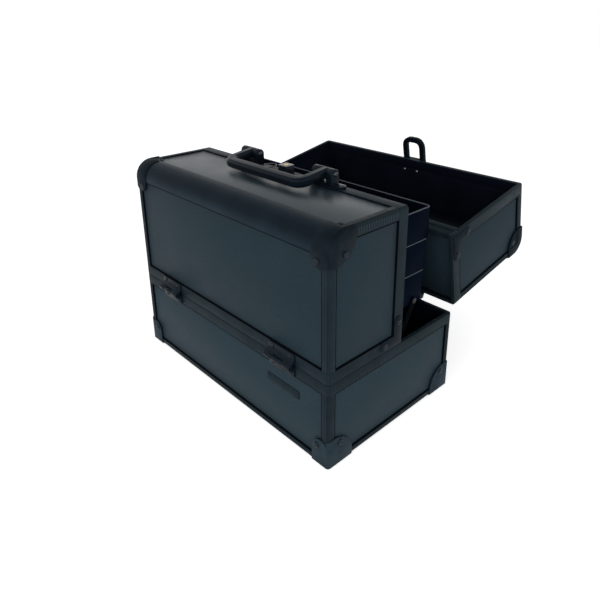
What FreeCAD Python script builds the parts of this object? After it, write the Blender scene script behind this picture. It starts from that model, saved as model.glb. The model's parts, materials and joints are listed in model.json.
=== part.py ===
import FreeCAD, Part
import math
import os

# Makeup train case: a framed base box, a front lid and a rear bin lid hinged on its long top edges, and a
# stack of three trays on swing arms. Millimetres, +X along the length, +Y to the back, +Z up. The origin is
# the middle of the underside. The front lid is shut and the rear bin lid stands open on its stop.

# Overall sizes
case_length = 365.0
case_depth = 217.0
base_height = 106.0
lid_height = 164.5
front_lid_depth = 116.5
seam_gap = 0.5
split_gap = 0.5
rear_open_angle = 79.2
edge_chamfer = 2.4
crown_radius = 22.0

# Aluminium frames and the panels that slide into them
frame_thickness = 5.2
panel_inset = 1.6
panel_thickness = 3.0
panel_tongue = 4.5
lining_thickness = 0.6
post_width = 10.0
base_top_rail_height = 13.5
base_bottom_rail_height = 9.0
bottom_band_width = 14.0
lid_bottom_rail_height = 14.0
end_top_rail_height = 13.0
split_rail_width = 15.0
crown_lap = 3.0
window_radius = 12.0
end_panel_cut = 10.0

# Floor of the rear bin and the rail on its free edge
floor_rise = 5.0
floor_rail_top = 21.0
floor_rail_depth = 8.0
floor_rail_lip = 8.0
floor_rail_recess = 1.5

# Corner protectors, flat corner plates and rivets
protector_thickness = 1.2
protector_ridge = 0.8
protector_ridge_width = 14.0
protector_strip_width = 25.0
lid_lobe_radius = 28.0
lid_lobe_back = 8.0
lid_lobe_drop = 8.0
lid_strip_drop = 39.0
base_lobe_radius = 28.5
base_lobe_offset = 8.0
base_strip_rise = 34.0
corner_plate_thickness = 1.0
corner_plate_reach = 38.0
corner_plate_width = 13.0
corner_plate_margin = 2.0
plate_rivet_reach = 30.5
rivet_radius = 3.8
rivet_height = 1.8
rivet_crown = 0.55
rivet_sides = 8
hardware_sides = 12
lobe_sides = 24
corner_sides = 3
bend_sides = 5
strip_rivet_inset = 16.0
lid_strip_rivet_drop = 31.5
lid_lobe_rivet_back = 21.0
lid_lobe_rivet_drop = 26.0
base_strip_rivet_rise = 25.5
base_lobe_rivet_back = 16.8
base_lobe_rivet_rise = 29.0
top_rivet_from_end = 14.5
top_rivet_from_front = 29.5

# Bare name plate
plate_length = 54.0
plate_height = 11.0
plate_thickness = 0.8
plate_corner = 2.0
plate_from_end = 71.8
plate_centre_z = 70.0

# Stop hinges
hinge_width = 42.0
hinge_spacing = 224.0
hinge_axis_out = 6.6
hinge_axis_rise = 0.5
knuckle_radius = 3.4
knuckle_gap = 0.4
knuckle_end_width = 13.0
leaf_thickness = 2.0
leaf_height = 14.4
leaf_foot = 2.2
leaf_bend = 7.5
leaf_corner = 2.0
hinge_pin_radius = 1.6
running_clearance = 0.06
hinge_rivet_radius = 2.6
hinge_rivet_height = 1.0
hinge_rivet_inset = 7.0
hinge_rivet_rise = 10.6

# Handle and its brackets
handle_pivot_from_split = 8.0
handle_pivot_rise = 14.3
handle_eye_spacing = 135.4
handle_arm_width = 12.5
handle_reach = 46.0
handle_grip_depth = 13.5
handle_thickness = 12.0
handle_outer_radius = 17.0
handle_inner_radius = 8.0
handle_chamfer = 3.0
handle_droop = 8.5
handle_pin_radius = 2.5
bracket_gap = 0.4
bracket_cheek = 10.0
bracket_depth = 12.0
bracket_foot_length = 15.0
bracket_foot_height = 3.0
bracket_screw_radius = 3.0
bracket_screw_height = 1.2

# Lock, keys and hasp
lock_width = 16.0
lock_depth = 15.0
lock_height = 9.0
lock_corner = 2.0
lock_from_split = 1.0
lock_plate_height = 1.0
lock_plate_border = 0.5
lock_cylinder_radius = 3.2
lock_cylinder_depth = 7.0
lock_cylinder_rise = 0.4
keyway_width = 0.9
keyway_length = 4.0
keyway_depth = 1.5
key_bow_radius = 6.0
key_hole_radius = 2.0
key_thickness = 1.4
key_blade_length = 15.0
key_blade_width = 3.2
key_ring_radius = 8.0
key_ring_wire = 1.4
key_ring_sides = 16
key_ring_x = -30.0
key_ring_from_split = 9.5
key_turns = (-125.0, -75.0)
hasp_pin_from_split = 4.7
hasp_pin_rise = 6.4
hasp_pin_radius = 1.5
hasp_reach = 37.0
hasp_width = 38.0
hasp_bar_width = 7.5
hasp_bar_thickness = 6.0
hasp_outer_radius = 14.0
hasp_inner_radius = 7.0
hasp_eye_radius = 3.6
hasp_plate_length = 18.0
hasp_plate_thickness = 1.4
hasp_knuckle_gap = 0.5
hasp_rivet_radius = 2.2
hasp_rivet_height = 0.9
hasp_rivet_inset = 4.7

# Trays and the arms that carry them
tray_end_clearance = 12.0
tray_depth = 100.0
tray_headroom = 12.5
tray_gap = 0.5
tray_wall = 2.0
tray_corner_radius = 6.0
tray_rise = 33.5
tray_back_from_front = 170.5
tray_step_back = 2.8
arm_thickness = 1.5
arm_width = 9.0
arm_gap = 0.5
pivot_radius = 2.0
pivot_head_radius = 3.6
pivot_head_height = 1.0
pivot_head_gap = 0.3
stud_spacer_radius = 4.0
stack_swing = 64.0
base_stud_drop = 20.0
tray_pivot_rise = 4.0
front_stud_from_front = 51.0
rear_stud_from_front = 118.0
fan_lean = 30.0
fan_pivot_from_front = 76.0
fan_pivot_rise = 18.0
fan_arm_spacing = 15.0

# Worked out from the sizes above
past = 1.0
skin_chamfer = 2 - math.sqrt(2)
half_length = case_length / 2
half_depth = case_depth / 2
front_y = -half_depth
split_y = front_y + front_lid_depth
rear_lid_depth = case_depth - front_lid_depth - split_gap
lid_foot_z = base_height + seam_gap
top_z = lid_foot_z + lid_height
panel_back = panel_inset + panel_thickness
hinge_axis_z = base_height + hinge_axis_rise
rear_axis_y = half_depth + hinge_axis_out
lid_ceiling_z = top_z - panel_back - lining_thickness
tray_length = case_length - 2 * tray_end_clearance
tray_floor_z = base_height + tray_rise
tray_pitch = (lid_ceiling_z - tray_headroom - tray_floor_z + tray_gap) / 3
tray_height = tray_pitch - tray_gap
base_stud_z = base_height - base_stud_drop
fan_step = tray_pitch * math.tan(math.radians(fan_lean))
along_x = FreeCAD.Vector(1, 0, 0)
along_y = FreeCAD.Vector(0, 1, 0)
along_z = FreeCAD.Vector(0, 0, 1)
origin = FreeCAD.Vector(0, 0, 0)


def point(x, y, z):
    return FreeCAD.Vector(x, y, z)


def block(x0, x1, y0, y1, z0, z1):
    """Box between two corners."""
    return Part.makeBox(x1 - x0, y1 - y0, z1 - z0, point(x0, y0, z0))


def rod(radius, start, direction, length):
    """Round bar from a start point."""
    return Part.makeCylinder(radius, length, start, direction)


def moved(shape, x, y, z):
    copy = shape.copy()
    copy.translate(point(x, y, z))
    return copy


def turned(shape, centre, axis, angle):
    copy = shape.copy()
    copy.rotate(centre, axis, angle)
    return copy


def both_ends(shape):
    """A piece at the +X end and its mirror image at the -X end."""
    return [shape, shape.mirror(origin, along_x)]


def rounded_prism(corners, z0, z1, sides):
    """Upright prism on square corners given as x, y and radius, each turned in a number of flats."""
    outline = []
    for index, (x, y, radius) in enumerate(corners):
        here = point(x, y, z0)
        before = point(corners[index - 1][0], corners[index - 1][1], z0)
        after = point(*corners[(index + 1) % len(corners)][:2], z0)
        back = (before - here).normalize() * radius
        ahead = (after - here).normalize() * radius
        steps = sides if radius else 0
        for step in range(steps + 1):
            turn = math.pi / 2 * step / sides
            outline.append(here + back * (1 - math.sin(turn)) + ahead * (1 - math.cos(turn)))
    return Part.Face(Part.makePolygon(outline + outline[:1])).extrude(point(0, 0, z1 - z0))


def rounded_block(x0, x1, y0, y1, z0, z1, radius):
    """Box with its four upright edges rounded in flats."""
    corners = [(x0, y0, radius), (x1, y0, radius), (x1, y1, radius), (x0, y1, radius)]
    return rounded_prism(corners, z0, z1, corner_sides)


def bent_bar(half, bar_width, y_open, y_end, z0, z1, outer_radius, inner_radius, end_width):
    """U-shaped bar in a level plane: legs at both sides of x = 0, open at y_open, bend at y_end."""
    way = math.copysign(1, y_end - y_open)
    inner_x = half - bar_width
    inner_end = y_end - way * end_width
    inner_open = y_open - way * past
    outer = [(-half, y_open, 0), (half, y_open, 0), (half, y_end, outer_radius), (-half, y_end, outer_radius)]
    inner = [(-inner_x, inner_open, 0), (inner_x, inner_open, 0),
             (inner_x, inner_end, inner_radius), (-inner_x, inner_end, inner_radius)]
    solid = rounded_prism(outer, z0, z1, bend_sides)
    return solid.cut(rounded_prism(inner, z0 - past, z1 + past, bend_sides))


def crowned_plate(x0, x1, y0, y1, z0, z1, radius):
    """Prism along X of a rectangle in Y and Z whose corner at low Y and high Z is rounded."""
    slant = radius * (1 - math.sqrt(0.5))
    foot = Part.makePolygon(
        [point(x0, y1, z1), point(x0, y1, z0), point(x0, y0, z0), point(x0, y0, z1 - radius)])
    arc = Part.Arc(point(x0, y0, z1 - radius), point(x0, y0 + slant, z1 - slant), point(x0, y0 + radius, z1))
    top = Part.makeLine(point(x0, y0 + radius, z1), point(x0, y1, z1))
    wire = Part.Wire(foot.Edges + [arc.toShape(), top])
    return Part.Face(wire).extrude(point(x1 - x0, 0, 0))


def clipped_plate(x0, x1, y0, y1, z0, z1, cut):
    """Prism along X of a rectangle in Y and Z whose corner at low Y and high Z is cut off."""
    outline = [point(x0, y0, z0), point(x0, y1, z0), point(x0, y1, z1),
               point(x0, y0 + cut, z1), point(x0, y0, z1 - cut), point(x0, y0, z0)]
    return Part.Face(Part.makePolygon(outline)).extrude(point(x1 - x0, 0, 0))


def polygon(radius, sides, z):
    """Corners of a regular outline round the Z axis, with the first one again at the end."""
    corners = []
    for step in range(sides + 1):
        turn = 2 * math.pi * step / sides
        corners.append(point(radius * math.cos(turn), radius * math.sin(turn), z))
    return corners


def aimed(shape, place, direction):
    """A piece made on the Z axis, put in its place and turned to its direction."""
    shape.Placement = FreeCAD.Placement(place, FreeCAD.Rotation(along_z, direction))
    return shape


def bar(radius, start, direction, length, sides=hardware_sides):
    """Many-sided bar for small hardware, with its corners on the radius."""
    section = Part.Face(Part.makePolygon(polygon(radius, sides, 0)))
    return aimed(section.extrude(point(0, 0, length)), start, direction)


def hole(radius, start, direction, length, sides=hardware_sides):
    """Many-sided cutter whose flats clear the radius."""
    return bar(radius / math.cos(math.pi / sides), start, direction, length, sides)


def rivet(place, direction, radius, height):
    """Low button head with sloping sides."""
    foot = polygon(radius, rivet_sides, 0)
    crown = polygon(radius * rivet_crown, rivet_sides, height)
    faces = [Part.Face(Part.makePolygon(foot[::-1])), Part.Face(Part.makePolygon(crown))]
    for side in range(rivet_sides):
        corners = [foot[side], foot[side + 1], crown[side + 1], crown[side], foot[side]]
        faces.append(Part.Face(Part.makePolygon(corners)))
    return aimed(Part.makeSolid(Part.makeShell(faces)), place, direction)


def export(name, pieces):
    """Write one node; a list becomes a group of separate solids."""
    solids = []
    for piece in pieces if isinstance(pieces, list) else [pieces]:
        solids.extend(piece.removeSplitter().Solids)
    shape = solids[0] if len(solids) == 1 else Part.makeCompound(solids)
    shape.exportStep("parts/" + name + ".step")


def grooved(piece, panels):
    """Frame piece with the grooves that its panels slide into."""
    return piece.cut(panels)


def base_outer(grow):
    """Outside of the base, thickened by a skin."""
    wide = half_length + grow
    deep = half_depth + grow
    box = block(-wide, wide, -deep, deep, -grow, base_height)
    edges = []
    for edge in box.Edges:
        if edge.BoundBox.ZMin < base_height / 2:
            edges.append(edge)
    return box.makeChamfer(edge_chamfer + skin_chamfer * grow, edges)


def base_panels():
    """Four wall panels and the bottom panel."""
    span_x = half_length - post_width + panel_tongue
    span_y = half_depth - post_width + panel_tongue
    z0 = base_bottom_rail_height - panel_tongue
    z1 = base_height - base_top_rail_height + panel_tongue
    front = block(-span_x, span_x, front_y + panel_inset, front_y + panel_back, z0, z1)
    right = block(half_length - panel_back, half_length - panel_inset, -span_y, span_y, z0, z1)
    bottom_x = half_length - bottom_band_width + panel_tongue
    bottom_y = half_depth - bottom_band_width + panel_tongue
    bottom = block(-bottom_x, bottom_x, -bottom_y, bottom_y, 0, panel_thickness)
    return {
        "base_front_panel": front,
        "base_rear_panel": front.mirror(origin, along_y),
        "base_end_panels": both_ends(right),
        "base_bottom_panel": bottom,
    }


def base_frame(panels):
    """Top rail, bottom rail and corner posts, cut from one wall section."""
    hollow = block(
        -half_length + frame_thickness, half_length - frame_thickness,
        -half_depth + frame_thickness, half_depth - frame_thickness,
        frame_thickness, base_height + past)
    wall = base_outer(0).cut(hollow)
    rail_foot = base_height - base_top_rail_height
    wide = half_length + past
    deep = half_depth + past
    top_rail = wall.common(block(-wide, wide, -deep, deep, rail_foot, base_height + past))
    bottom_rail = wall.common(block(-wide, wide, -deep, deep, -past, base_bottom_rail_height))
    band_x = half_length - bottom_band_width
    band_y = half_depth - bottom_band_width
    bottom_rail = bottom_rail.cut(block(-band_x, band_x, -band_y, band_y, -past, frame_thickness + past))
    post_zone = block(
        half_length - post_width, wide, half_depth - post_width, deep, base_bottom_rail_height, rail_foot)
    post = grooved(wall.common(post_zone), panels)
    posts = both_ends(post) + both_ends(post.mirror(origin, along_y))
    return grooved(top_rail, panels), grooved(bottom_rail, panels), posts


def base_lining():
    """Thin sheets on the inside of the base panels, between the rails."""
    z0 = base_bottom_rail_height
    z1 = base_height - base_top_rail_height
    span_x = half_length - post_width
    span_y = half_depth - post_width
    inner_y = half_depth - panel_back
    inner_x = half_length - panel_back
    front = block(-span_x, span_x, -inner_y, -inner_y + lining_thickness, z0, z1)
    right = block(inner_x - lining_thickness, inner_x, -span_y, span_y, z0, z1)
    band_x = half_length - bottom_band_width
    band_y = half_depth - bottom_band_width
    floor = block(-band_x, band_x, -band_y, band_y, panel_thickness, panel_thickness + lining_thickness)
    return [front, front.mirror(origin, along_y), floor] + both_ends(right)


def strip_flap(y0, y1, z_end, z_round):
    """Strip of a protector next to a corner post, with a half-round end, from z_end to z_round."""
    half = protector_strip_width / 2
    middle = half_length + protector_thickness - half
    low = min(z_end, z_round)
    high = max(z_end, z_round)
    strip = block(middle - half, middle + half, y0, y1, low, high)
    end = bar(half, point(middle, y0, z_round), along_y, y1 - y0)
    return strip.fuse(end)


def base_protectors():
    """Pressed caps over the four bottom corners: a lobe on the end and a strip on the long side."""
    skin = base_outer(protector_thickness).cut(base_outer(0))
    lobe = bar(
        base_lobe_radius, point(half_length - edge_chamfer, half_depth - base_lobe_offset, base_lobe_offset),
        along_x, edge_chamfer + 2 * protector_thickness, lobe_sides)
    corner = block(
        half_length - edge_chamfer, half_length + 2 * protector_thickness,
        half_depth - base_lobe_offset, half_depth + 2 * protector_thickness, 0, base_lobe_offset)
    strip_end = base_strip_rise - protector_strip_width / 2
    strip = strip_flap(half_depth - edge_chamfer, half_depth + 2 * protector_thickness, 0, strip_end)
    cap = skin.common(lobe.fuse([corner, strip]))
    cap = cap.common(block(0, 2 * half_length, 0, 2 * half_depth, 0, base_height))
    return both_ends(cap) + both_ends(cap.mirror(origin, along_y))


def base_rivets():
    """Rivets of the bottom protectors."""
    end_place = point(
        half_length + protector_thickness, half_depth - base_lobe_rivet_back, base_lobe_rivet_rise)
    side_place = point(
        half_length - strip_rivet_inset, half_depth + protector_thickness, base_strip_rivet_rise)
    pair = [rivet(end_place, along_x, rivet_radius, rivet_height),
            rivet(side_place, along_y, rivet_radius, rivet_height)]
    heads = []
    for head in pair:
        heads += both_ends(head) + both_ends(head.mirror(origin, along_y))
    return heads


def name_plate():
    """Bare plate with rounded corners on the front panel."""
    wide = plate_length / 2
    high = plate_height / 2
    plate = rounded_block(-wide, wide, -high, high, 0, plate_thickness, plate_corner)
    plate = turned(plate, origin, along_x, 90)
    return moved(plate, half_length - plate_from_end, front_y + panel_inset, plate_centre_z)


def lid_outer(depth, grow):
    """Outside of a lid, thickened by a skin: outer wall at y = 0, split at y = depth, foot at z = 0."""
    x1 = half_length + grow
    body = crowned_plate(-x1, x1, -grow, depth, 0, lid_height + grow, crown_radius + grow)
    edges = []
    for edge in body.Edges:
        box = edge.BoundBox
        on_end = box.XLength < past / 2
        on_foot = box.ZMax < past / 2
        on_split = box.YMin > depth - past / 2
        if on_end and not on_foot and not on_split:
            edges.append(edge)
    return body.makeChamfer(edge_chamfer + skin_chamfer * grow, edges)


def lid_panels(depth):
    """Outer wall, top and end panels of a lid."""
    span_x = half_length - post_width + panel_tongue
    crown_end = crown_radius + crown_lap - panel_tongue
    z0 = lid_bottom_rail_height - panel_tongue
    y1 = depth - split_rail_width + panel_tongue
    wall = block(-span_x, span_x, panel_inset, panel_back, z0, lid_height - crown_end)
    top = block(-span_x, span_x, crown_end, y1, lid_height - panel_back, lid_height - panel_inset)
    end = clipped_plate(
        half_length - panel_back, half_length - panel_inset, post_width - panel_tongue, y1,
        z0, lid_height - end_top_rail_height + panel_tongue, end_panel_cut)
    return wall, top, both_ends(end)


def lid_frame(depth, panels):
    """Bottom rail, split rail, end edge frames and crown edge of a lid, cut from one wall section."""
    hollow = crowned_plate(
        -half_length + frame_thickness, half_length - frame_thickness, frame_thickness, depth + past,
        -past, lid_height - frame_thickness, crown_radius - frame_thickness)
    wall = lid_outer(depth, 0).cut(hollow)
    wide = half_length + past
    high = lid_height + past
    rail_y = depth - split_rail_width
    bottom_rail = wall.common(block(-wide, wide, -past, depth + past, -past, lid_bottom_rail_height))
    split_rail = wall.common(block(-wide, wide, rail_y, depth + past, lid_bottom_rail_height, high))
    rest = wall.common(block(-wide, wide, -past, rail_y, lid_bottom_rail_height, high))
    middle = half_length - post_width
    window = crowned_plate(
        middle - past, wide, post_width, rail_y + past, lid_bottom_rail_height - past,
        lid_height - end_top_rail_height, window_radius)
    end_frame = rest.common(block(middle, wide, -past, rail_y, 0, high)).cut(window)
    crown_end = crown_radius + crown_lap
    crown = rest.common(block(-middle, middle, -past, crown_end, lid_height - crown_end, high))
    frames = []
    for side in both_ends(end_frame):
        frames.append(grooved(side, panels))
    return grooved(bottom_rail, panels), grooved(split_rail, panels), frames, grooved(crown, panels)


def lid_lining(depth):
    """Thin sheets on the inside of a lid's panels, between its rails."""
    span_x = half_length - post_width
    crown_end = crown_radius + crown_lap
    y1 = depth - split_rail_width
    z1 = lid_height - panel_back
    wall = block(
        -span_x, span_x, panel_back, panel_back + lining_thickness,
        lid_bottom_rail_height, lid_height - crown_end)
    top = block(-span_x, span_x, crown_end, y1, z1 - lining_thickness, z1)
    x1 = half_length - panel_back
    end = crowned_plate(
        x1 - lining_thickness, x1, post_width, y1, lid_bottom_rail_height,
        lid_height - end_top_rail_height, window_radius)
    return [wall, top] + both_ends(end)


def lid_protectors(depth):
    """Pressed caps over a lid's two outer top corners, with a raised ridge along the edge."""
    base_skin = lid_outer(depth, protector_thickness).cut(lid_outer(depth, 0))
    ridge_skin = lid_outer(depth, protector_thickness + protector_ridge).cut(lid_outer(depth, 0))
    reach = edge_chamfer + 2 * protector_thickness + protector_ridge
    lobe = bar(
        lid_lobe_radius, point(half_length - edge_chamfer, lid_lobe_back, lid_height - lid_lobe_drop),
        along_x, reach, lobe_sides)
    low_y = -2 * protector_thickness
    strip = strip_flap(
        low_y, crown_radius, lid_height + 2 * protector_thickness,
        lid_height - lid_strip_drop + protector_strip_width / 2)
    cap = base_skin.common(lobe.fuse(strip))
    inner = crowned_plate(
        half_length - edge_chamfer - past, half_length + reach, protector_ridge_width, depth,
        0, lid_height - protector_ridge_width, edge_chamfer)
    ridge = ridge_skin.common(lobe.cut(inner)).common(
        block(half_length, half_length + reach, -reach, depth, 0, lid_height + reach))
    return both_ends(cap.fuse(ridge))


def corner_plates(depth):
    """Flat L-shaped plates at the foot of a lid's split edge, one on each end."""
    x1 = half_length + corner_plate_thickness
    y1 = depth - corner_plate_margin
    y0 = depth - corner_plate_reach
    half = corner_plate_width / 2
    z0 = corner_plate_margin
    lying = block(half_length, x1, y0 + half, y1, z0, z0 + corner_plate_width)
    lying_end = bar(half, point(half_length, y0 + half, z0 + half), along_x, corner_plate_thickness)
    standing = block(half_length, x1, y1 - corner_plate_width, y1, z0, corner_plate_reach - half)
    standing_end = bar(
        half, point(half_length, y1 - half, corner_plate_reach - half), along_x, corner_plate_thickness)
    return both_ends(lying.fuse([lying_end, standing, standing_end]))


def lid_rivets(depth):
    """Rivets of a lid's protectors and corner plates."""
    skin_x = half_length + protector_thickness
    plate_x = half_length + corner_plate_thickness
    middle = corner_plate_margin + corner_plate_width / 2
    lobe_place = point(skin_x, lid_lobe_rivet_back, lid_height - lid_lobe_rivet_drop)
    strip_place = point(
        half_length - strip_rivet_inset, -protector_thickness, lid_height - lid_strip_rivet_drop)
    lying_place = point(plate_x, depth - plate_rivet_reach, middle)
    standing_place = point(plate_x, depth - middle, plate_rivet_reach)
    heads = both_ends(rivet(strip_place, -along_y, rivet_radius, rivet_height))
    for place in (lobe_place, lying_place, standing_place):
        heads += both_ends(rivet(place, along_x, rivet_radius, rivet_height))
    return heads


def hinge_leaf(upward):
    """One leaf of a hinge at x = 0, wall face at y = 0 and pin axis at y = -hinge_axis_out, z = 0."""
    half = hinge_width / 2
    plate = block(-half, half, -leaf_thickness, 0, leaf_foot, leaf_height)
    corners = []
    for edge in plate.Edges:
        if edge.BoundBox.YLength > past and edge.BoundBox.ZMin > leaf_bend:
            corners.append(edge)
    plate = plate.makeChamfer(leaf_corner, corners)
    section = [point(-half, 0, leaf_foot), point(-half, 0, leaf_bend),
               point(-half, -leaf_thickness, leaf_bend), point(-half, -hinge_axis_out, knuckle_radius),
               point(-half, -hinge_axis_out, 0), point(-half, -hinge_axis_out + knuckle_radius, leaf_foot),
               point(-half, 0, leaf_foot)]
    web = Part.Face(Part.makePolygon(section)).extrude(point(hinge_width, 0, 0))
    leaf = plate.fuse([web, bar(knuckle_radius, point(-half, -hinge_axis_out, 0), along_x, hinge_width)])
    room = knuckle_radius + knuckle_gap
    inner = half - knuckle_end_width
    bore_start = point(-half - past, -hinge_axis_out, 0)
    bore_length = hinge_width + 2 * past
    if upward:
        bore = hole(hinge_pin_radius + running_clearance, bore_start, along_x, bore_length)
        start = point(-inner - knuckle_gap, -hinge_axis_out, 0)
        gaps = [hole(room, start, along_x, 2 * (inner + knuckle_gap))]
    else:
        bore = hole(hinge_pin_radius, bore_start, along_x, bore_length)
        gaps = [hole(room, point(-half - past, -hinge_axis_out, 0), along_x, knuckle_end_width + past),
                hole(room, point(inner, -hinge_axis_out, 0), along_x, knuckle_end_width + past)]
    leaf = leaf.cut(gaps + [bore])
    return leaf if upward else leaf.mirror(origin, along_z)


def hinge_pair(piece, wall_y):
    """The same hinge piece at both hinge places, at a height measured from the hinge axis."""
    return [moved(piece, x, wall_y, hinge_axis_z) for x in (-hinge_spacing / 2, hinge_spacing / 2)]


def hinge_rivet_pair(upward):
    """Two rivet heads on a hinge leaf."""
    z = hinge_rivet_rise if upward else -hinge_rivet_rise
    heads = []
    for x in (-hinge_width / 2 + hinge_rivet_inset, hinge_width / 2 - hinge_rivet_inset):
        heads.append(rivet(point(x, -leaf_thickness, z), -along_y, hinge_rivet_radius, hinge_rivet_height))
    return Part.makeCompound(heads)


def to_front(shape):
    """From a lid's own axes to the shut front lid."""
    return moved(shape, 0, front_y, lid_foot_z)


def shut_at_back(shape):
    """From a lid's own axes to the rear lid, shut."""
    return moved(shape.mirror(origin, along_y), 0, half_depth, lid_foot_z)


def swung_open(shape):
    """The rear lid's pieces turned from shut to the open stop."""
    return turned(shape, point(0, rear_axis_y, hinge_axis_z), along_x, -rear_open_angle)


def to_rear(shape):
    return swung_open(shut_at_back(shape))


def placed(pieces, place):
    """One piece or a list of pieces put in its place."""
    if isinstance(pieces, list):
        return [place(piece) for piece in pieces]
    return place(pieces)


def rear_floor(depth):
    """Floor panel of the rear bin and the lipped rail on its free edge."""
    x1 = half_length - frame_thickness
    floor_top = floor_rise + panel_thickness
    rail_y = depth - floor_rail_depth
    panel = block(-x1, x1, frame_thickness, rail_y + panel_tongue, floor_rise, floor_top)
    rail = block(-x1, x1, rail_y, depth, floor_rise - panel_inset, floor_rail_top)
    recess = block(
        -x1 - past, x1 + past, depth - floor_rail_recess, depth + past, 0, floor_rail_top - floor_rail_lip)
    pocket = block(
        -x1 - past, x1 + past, rail_y - past, rail_y + panel_tongue,
        floor_top + panel_inset, floor_rail_top - panel_thickness)
    return panel, rail.cut([recess, panel, pocket])


def handle_bail():
    """Moulded bail in its own plane: pivot axis along X at the origin, grip towards -Y."""
    outer_x = handle_eye_spacing / 2 + handle_arm_width / 2
    half = handle_thickness / 2
    bail = bent_bar(
        outer_x, handle_arm_width, 0, -handle_reach, -half, half,
        handle_outer_radius, handle_inner_radius, handle_grip_depth)
    edges = []
    for edge in bail.Edges:
        box = edge.BoundBox
        if box.ZLength < past / 2 and box.YMin < -past / 2:
            edges.append(edge)
    bail = bail.makeChamfer(handle_chamfer, edges)
    eye = bar(half, point(outer_x - handle_arm_width, 0, 0), along_x, handle_arm_width)
    bore_radius = handle_pin_radius + running_clearance
    bore = hole(bore_radius, point(-outer_x - past, 0, 0), along_x, 2 * (outer_x + past))
    return bail.fuse(both_ends(eye)).cut(bore)


def handle_bracket():
    """Forked +X bracket with a foot and its pivot pin; the axis is along X at the origin."""
    half = bracket_depth / 2
    room = handle_arm_width / 2 + bracket_gap
    x0 = handle_eye_spacing / 2 - room - bracket_cheek
    x1 = handle_eye_spacing / 2 + room
    foot_end = x1 + bracket_cheek + bracket_foot_length - half
    foot_z = -handle_pivot_rise
    foot = block(x0, foot_end, -half, half, foot_z, foot_z + bracket_foot_height)
    toe = bar(half, point(foot_end, 0, foot_z), along_z, bracket_foot_height)
    pin = rod(handle_pin_radius, point(x0, 0, 0), along_x, x1 + bracket_cheek - x0)
    screw = rivet(
        point(foot_end, 0, foot_z + bracket_foot_height), along_z, bracket_screw_radius, bracket_screw_height)
    pieces = [toe, pin, screw]
    for x in (x0, x1):
        pieces.append(block(x, x + bracket_cheek, -half, half, foot_z, 0))
        pieces.append(bar(half, point(x, 0, 0), along_x, bracket_cheek))
    return foot.fuse(pieces)


def lock_pieces():
    """Lock body with its cover plate and key cylinder, on the top of the front lid."""
    y1 = split_y - lock_from_split
    y0 = y1 - lock_depth
    half = lock_width / 2
    plate_z = top_z + lock_height
    plate_top = plate_z + lock_plate_height
    body = rounded_block(-half, half, y0, y1, top_z, plate_z, lock_corner)
    border = lock_plate_border
    plate = rounded_block(
        border - half, half - border, y0 + border, y1 - border, plate_z, plate_top, lock_corner)
    centre = point(0, (y0 + y1) / 2, plate_top - lock_cylinder_depth)
    bore_radius = lock_cylinder_radius + running_clearance
    bore = hole(bore_radius, centre, along_z, lock_cylinder_depth + past)
    cylinder_top = plate_top + lock_cylinder_rise
    foot = centre + along_z * running_clearance
    cylinder = rod(lock_cylinder_radius, foot, along_z, cylinder_top - foot.z)
    keyway = block(
        -keyway_width / 2, keyway_width / 2,
        centre.y - keyway_length / 2, centre.y + keyway_length / 2,
        cylinder_top - keyway_depth, cylinder_top + past)
    return body.cut(bore), plate.cut(bore), cylinder.cut(keyway)


def keys():
    """Two flat keys lying on the lid, one over the other, under the ring that holds them."""
    bow = bar(key_bow_radius, origin, along_z, key_thickness)
    blade = block(
        0, key_bow_radius + key_blade_length, -key_blade_width / 2, key_blade_width / 2, 0, key_thickness)
    hole_x = key_hole_radius - key_bow_radius / 2
    key = bow.fuse(blade).cut(hole(key_hole_radius, point(hole_x, 0, 0), along_z, key_thickness))
    ring_y = split_y - key_ring_from_split
    pieces = []
    z = top_z
    for angle in key_turns:
        lying = turned(moved(key, key_ring_radius, 0, 0), origin, along_z, angle)
        pieces.append(moved(lying, key_ring_x, ring_y, z))
        z += key_thickness
    ring = bar(key_ring_radius + key_ring_wire / 2, origin, along_z, key_ring_wire, key_ring_sides)
    ring = ring.cut(bar(key_ring_radius - key_ring_wire / 2, origin, along_z, key_ring_wire, key_ring_sides))
    pieces.append(moved(ring, key_ring_x, ring_y, z))
    return pieces


def hasp_pieces(depth):
    """Hasp plate with its pin, and the loop, in the rear lid's own axes."""
    pin_y = depth - hasp_pin_from_split
    pin_z = lid_height + hasp_pin_rise
    half = hasp_width / 2
    inner_x = half - hasp_bar_width
    thick = hasp_bar_thickness / 2
    loop = bent_bar(
        half, hasp_bar_width, 0, hasp_reach, pin_z - thick, pin_z + thick,
        hasp_outer_radius, hasp_inner_radius, hasp_bar_width)
    loop = moved(loop, 0, pin_y, 0)
    eye = bar(hasp_eye_radius, point(inner_x, pin_y, pin_z), along_x, hasp_bar_width)
    bore_radius = hasp_pin_radius + running_clearance
    bore = hole(bore_radius, point(-half - past, pin_y, pin_z), along_x, hasp_width + 2 * past)
    loop = loop.fuse(both_ends(eye)).cut(bore)
    plate_end = pin_y - hasp_plate_length
    plate = block(-half, half, plate_end, pin_y, lid_height, lid_height + hasp_plate_thickness)
    knuckle_x = inner_x - hasp_knuckle_gap
    stand = block(-knuckle_x, knuckle_x, pin_y - hasp_eye_radius, pin_y + hasp_eye_radius, lid_height, pin_z)
    knuckle = bar(hasp_eye_radius, point(-knuckle_x, pin_y, pin_z), along_x, 2 * knuckle_x)
    pin = rod(hasp_pin_radius, point(-half, pin_y, pin_z), along_x, hasp_width)
    plate = plate.fuse([stand, knuckle, pin])
    rivets = []
    rivet_y = plate_end + hasp_rivet_inset
    for x in (-inner_x, inner_x):
        outside = point(x, rivet_y, lid_height + hasp_plate_thickness)
        inside = point(x, rivet_y, lid_height - panel_back - lining_thickness)
        rivets.append(rivet(outside, along_z, hasp_rivet_radius, hasp_rivet_height))
        rivets.append(rivet(inside, -along_z, hasp_rivet_radius, hasp_rivet_height))
    return plate, loop, rivets


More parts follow.
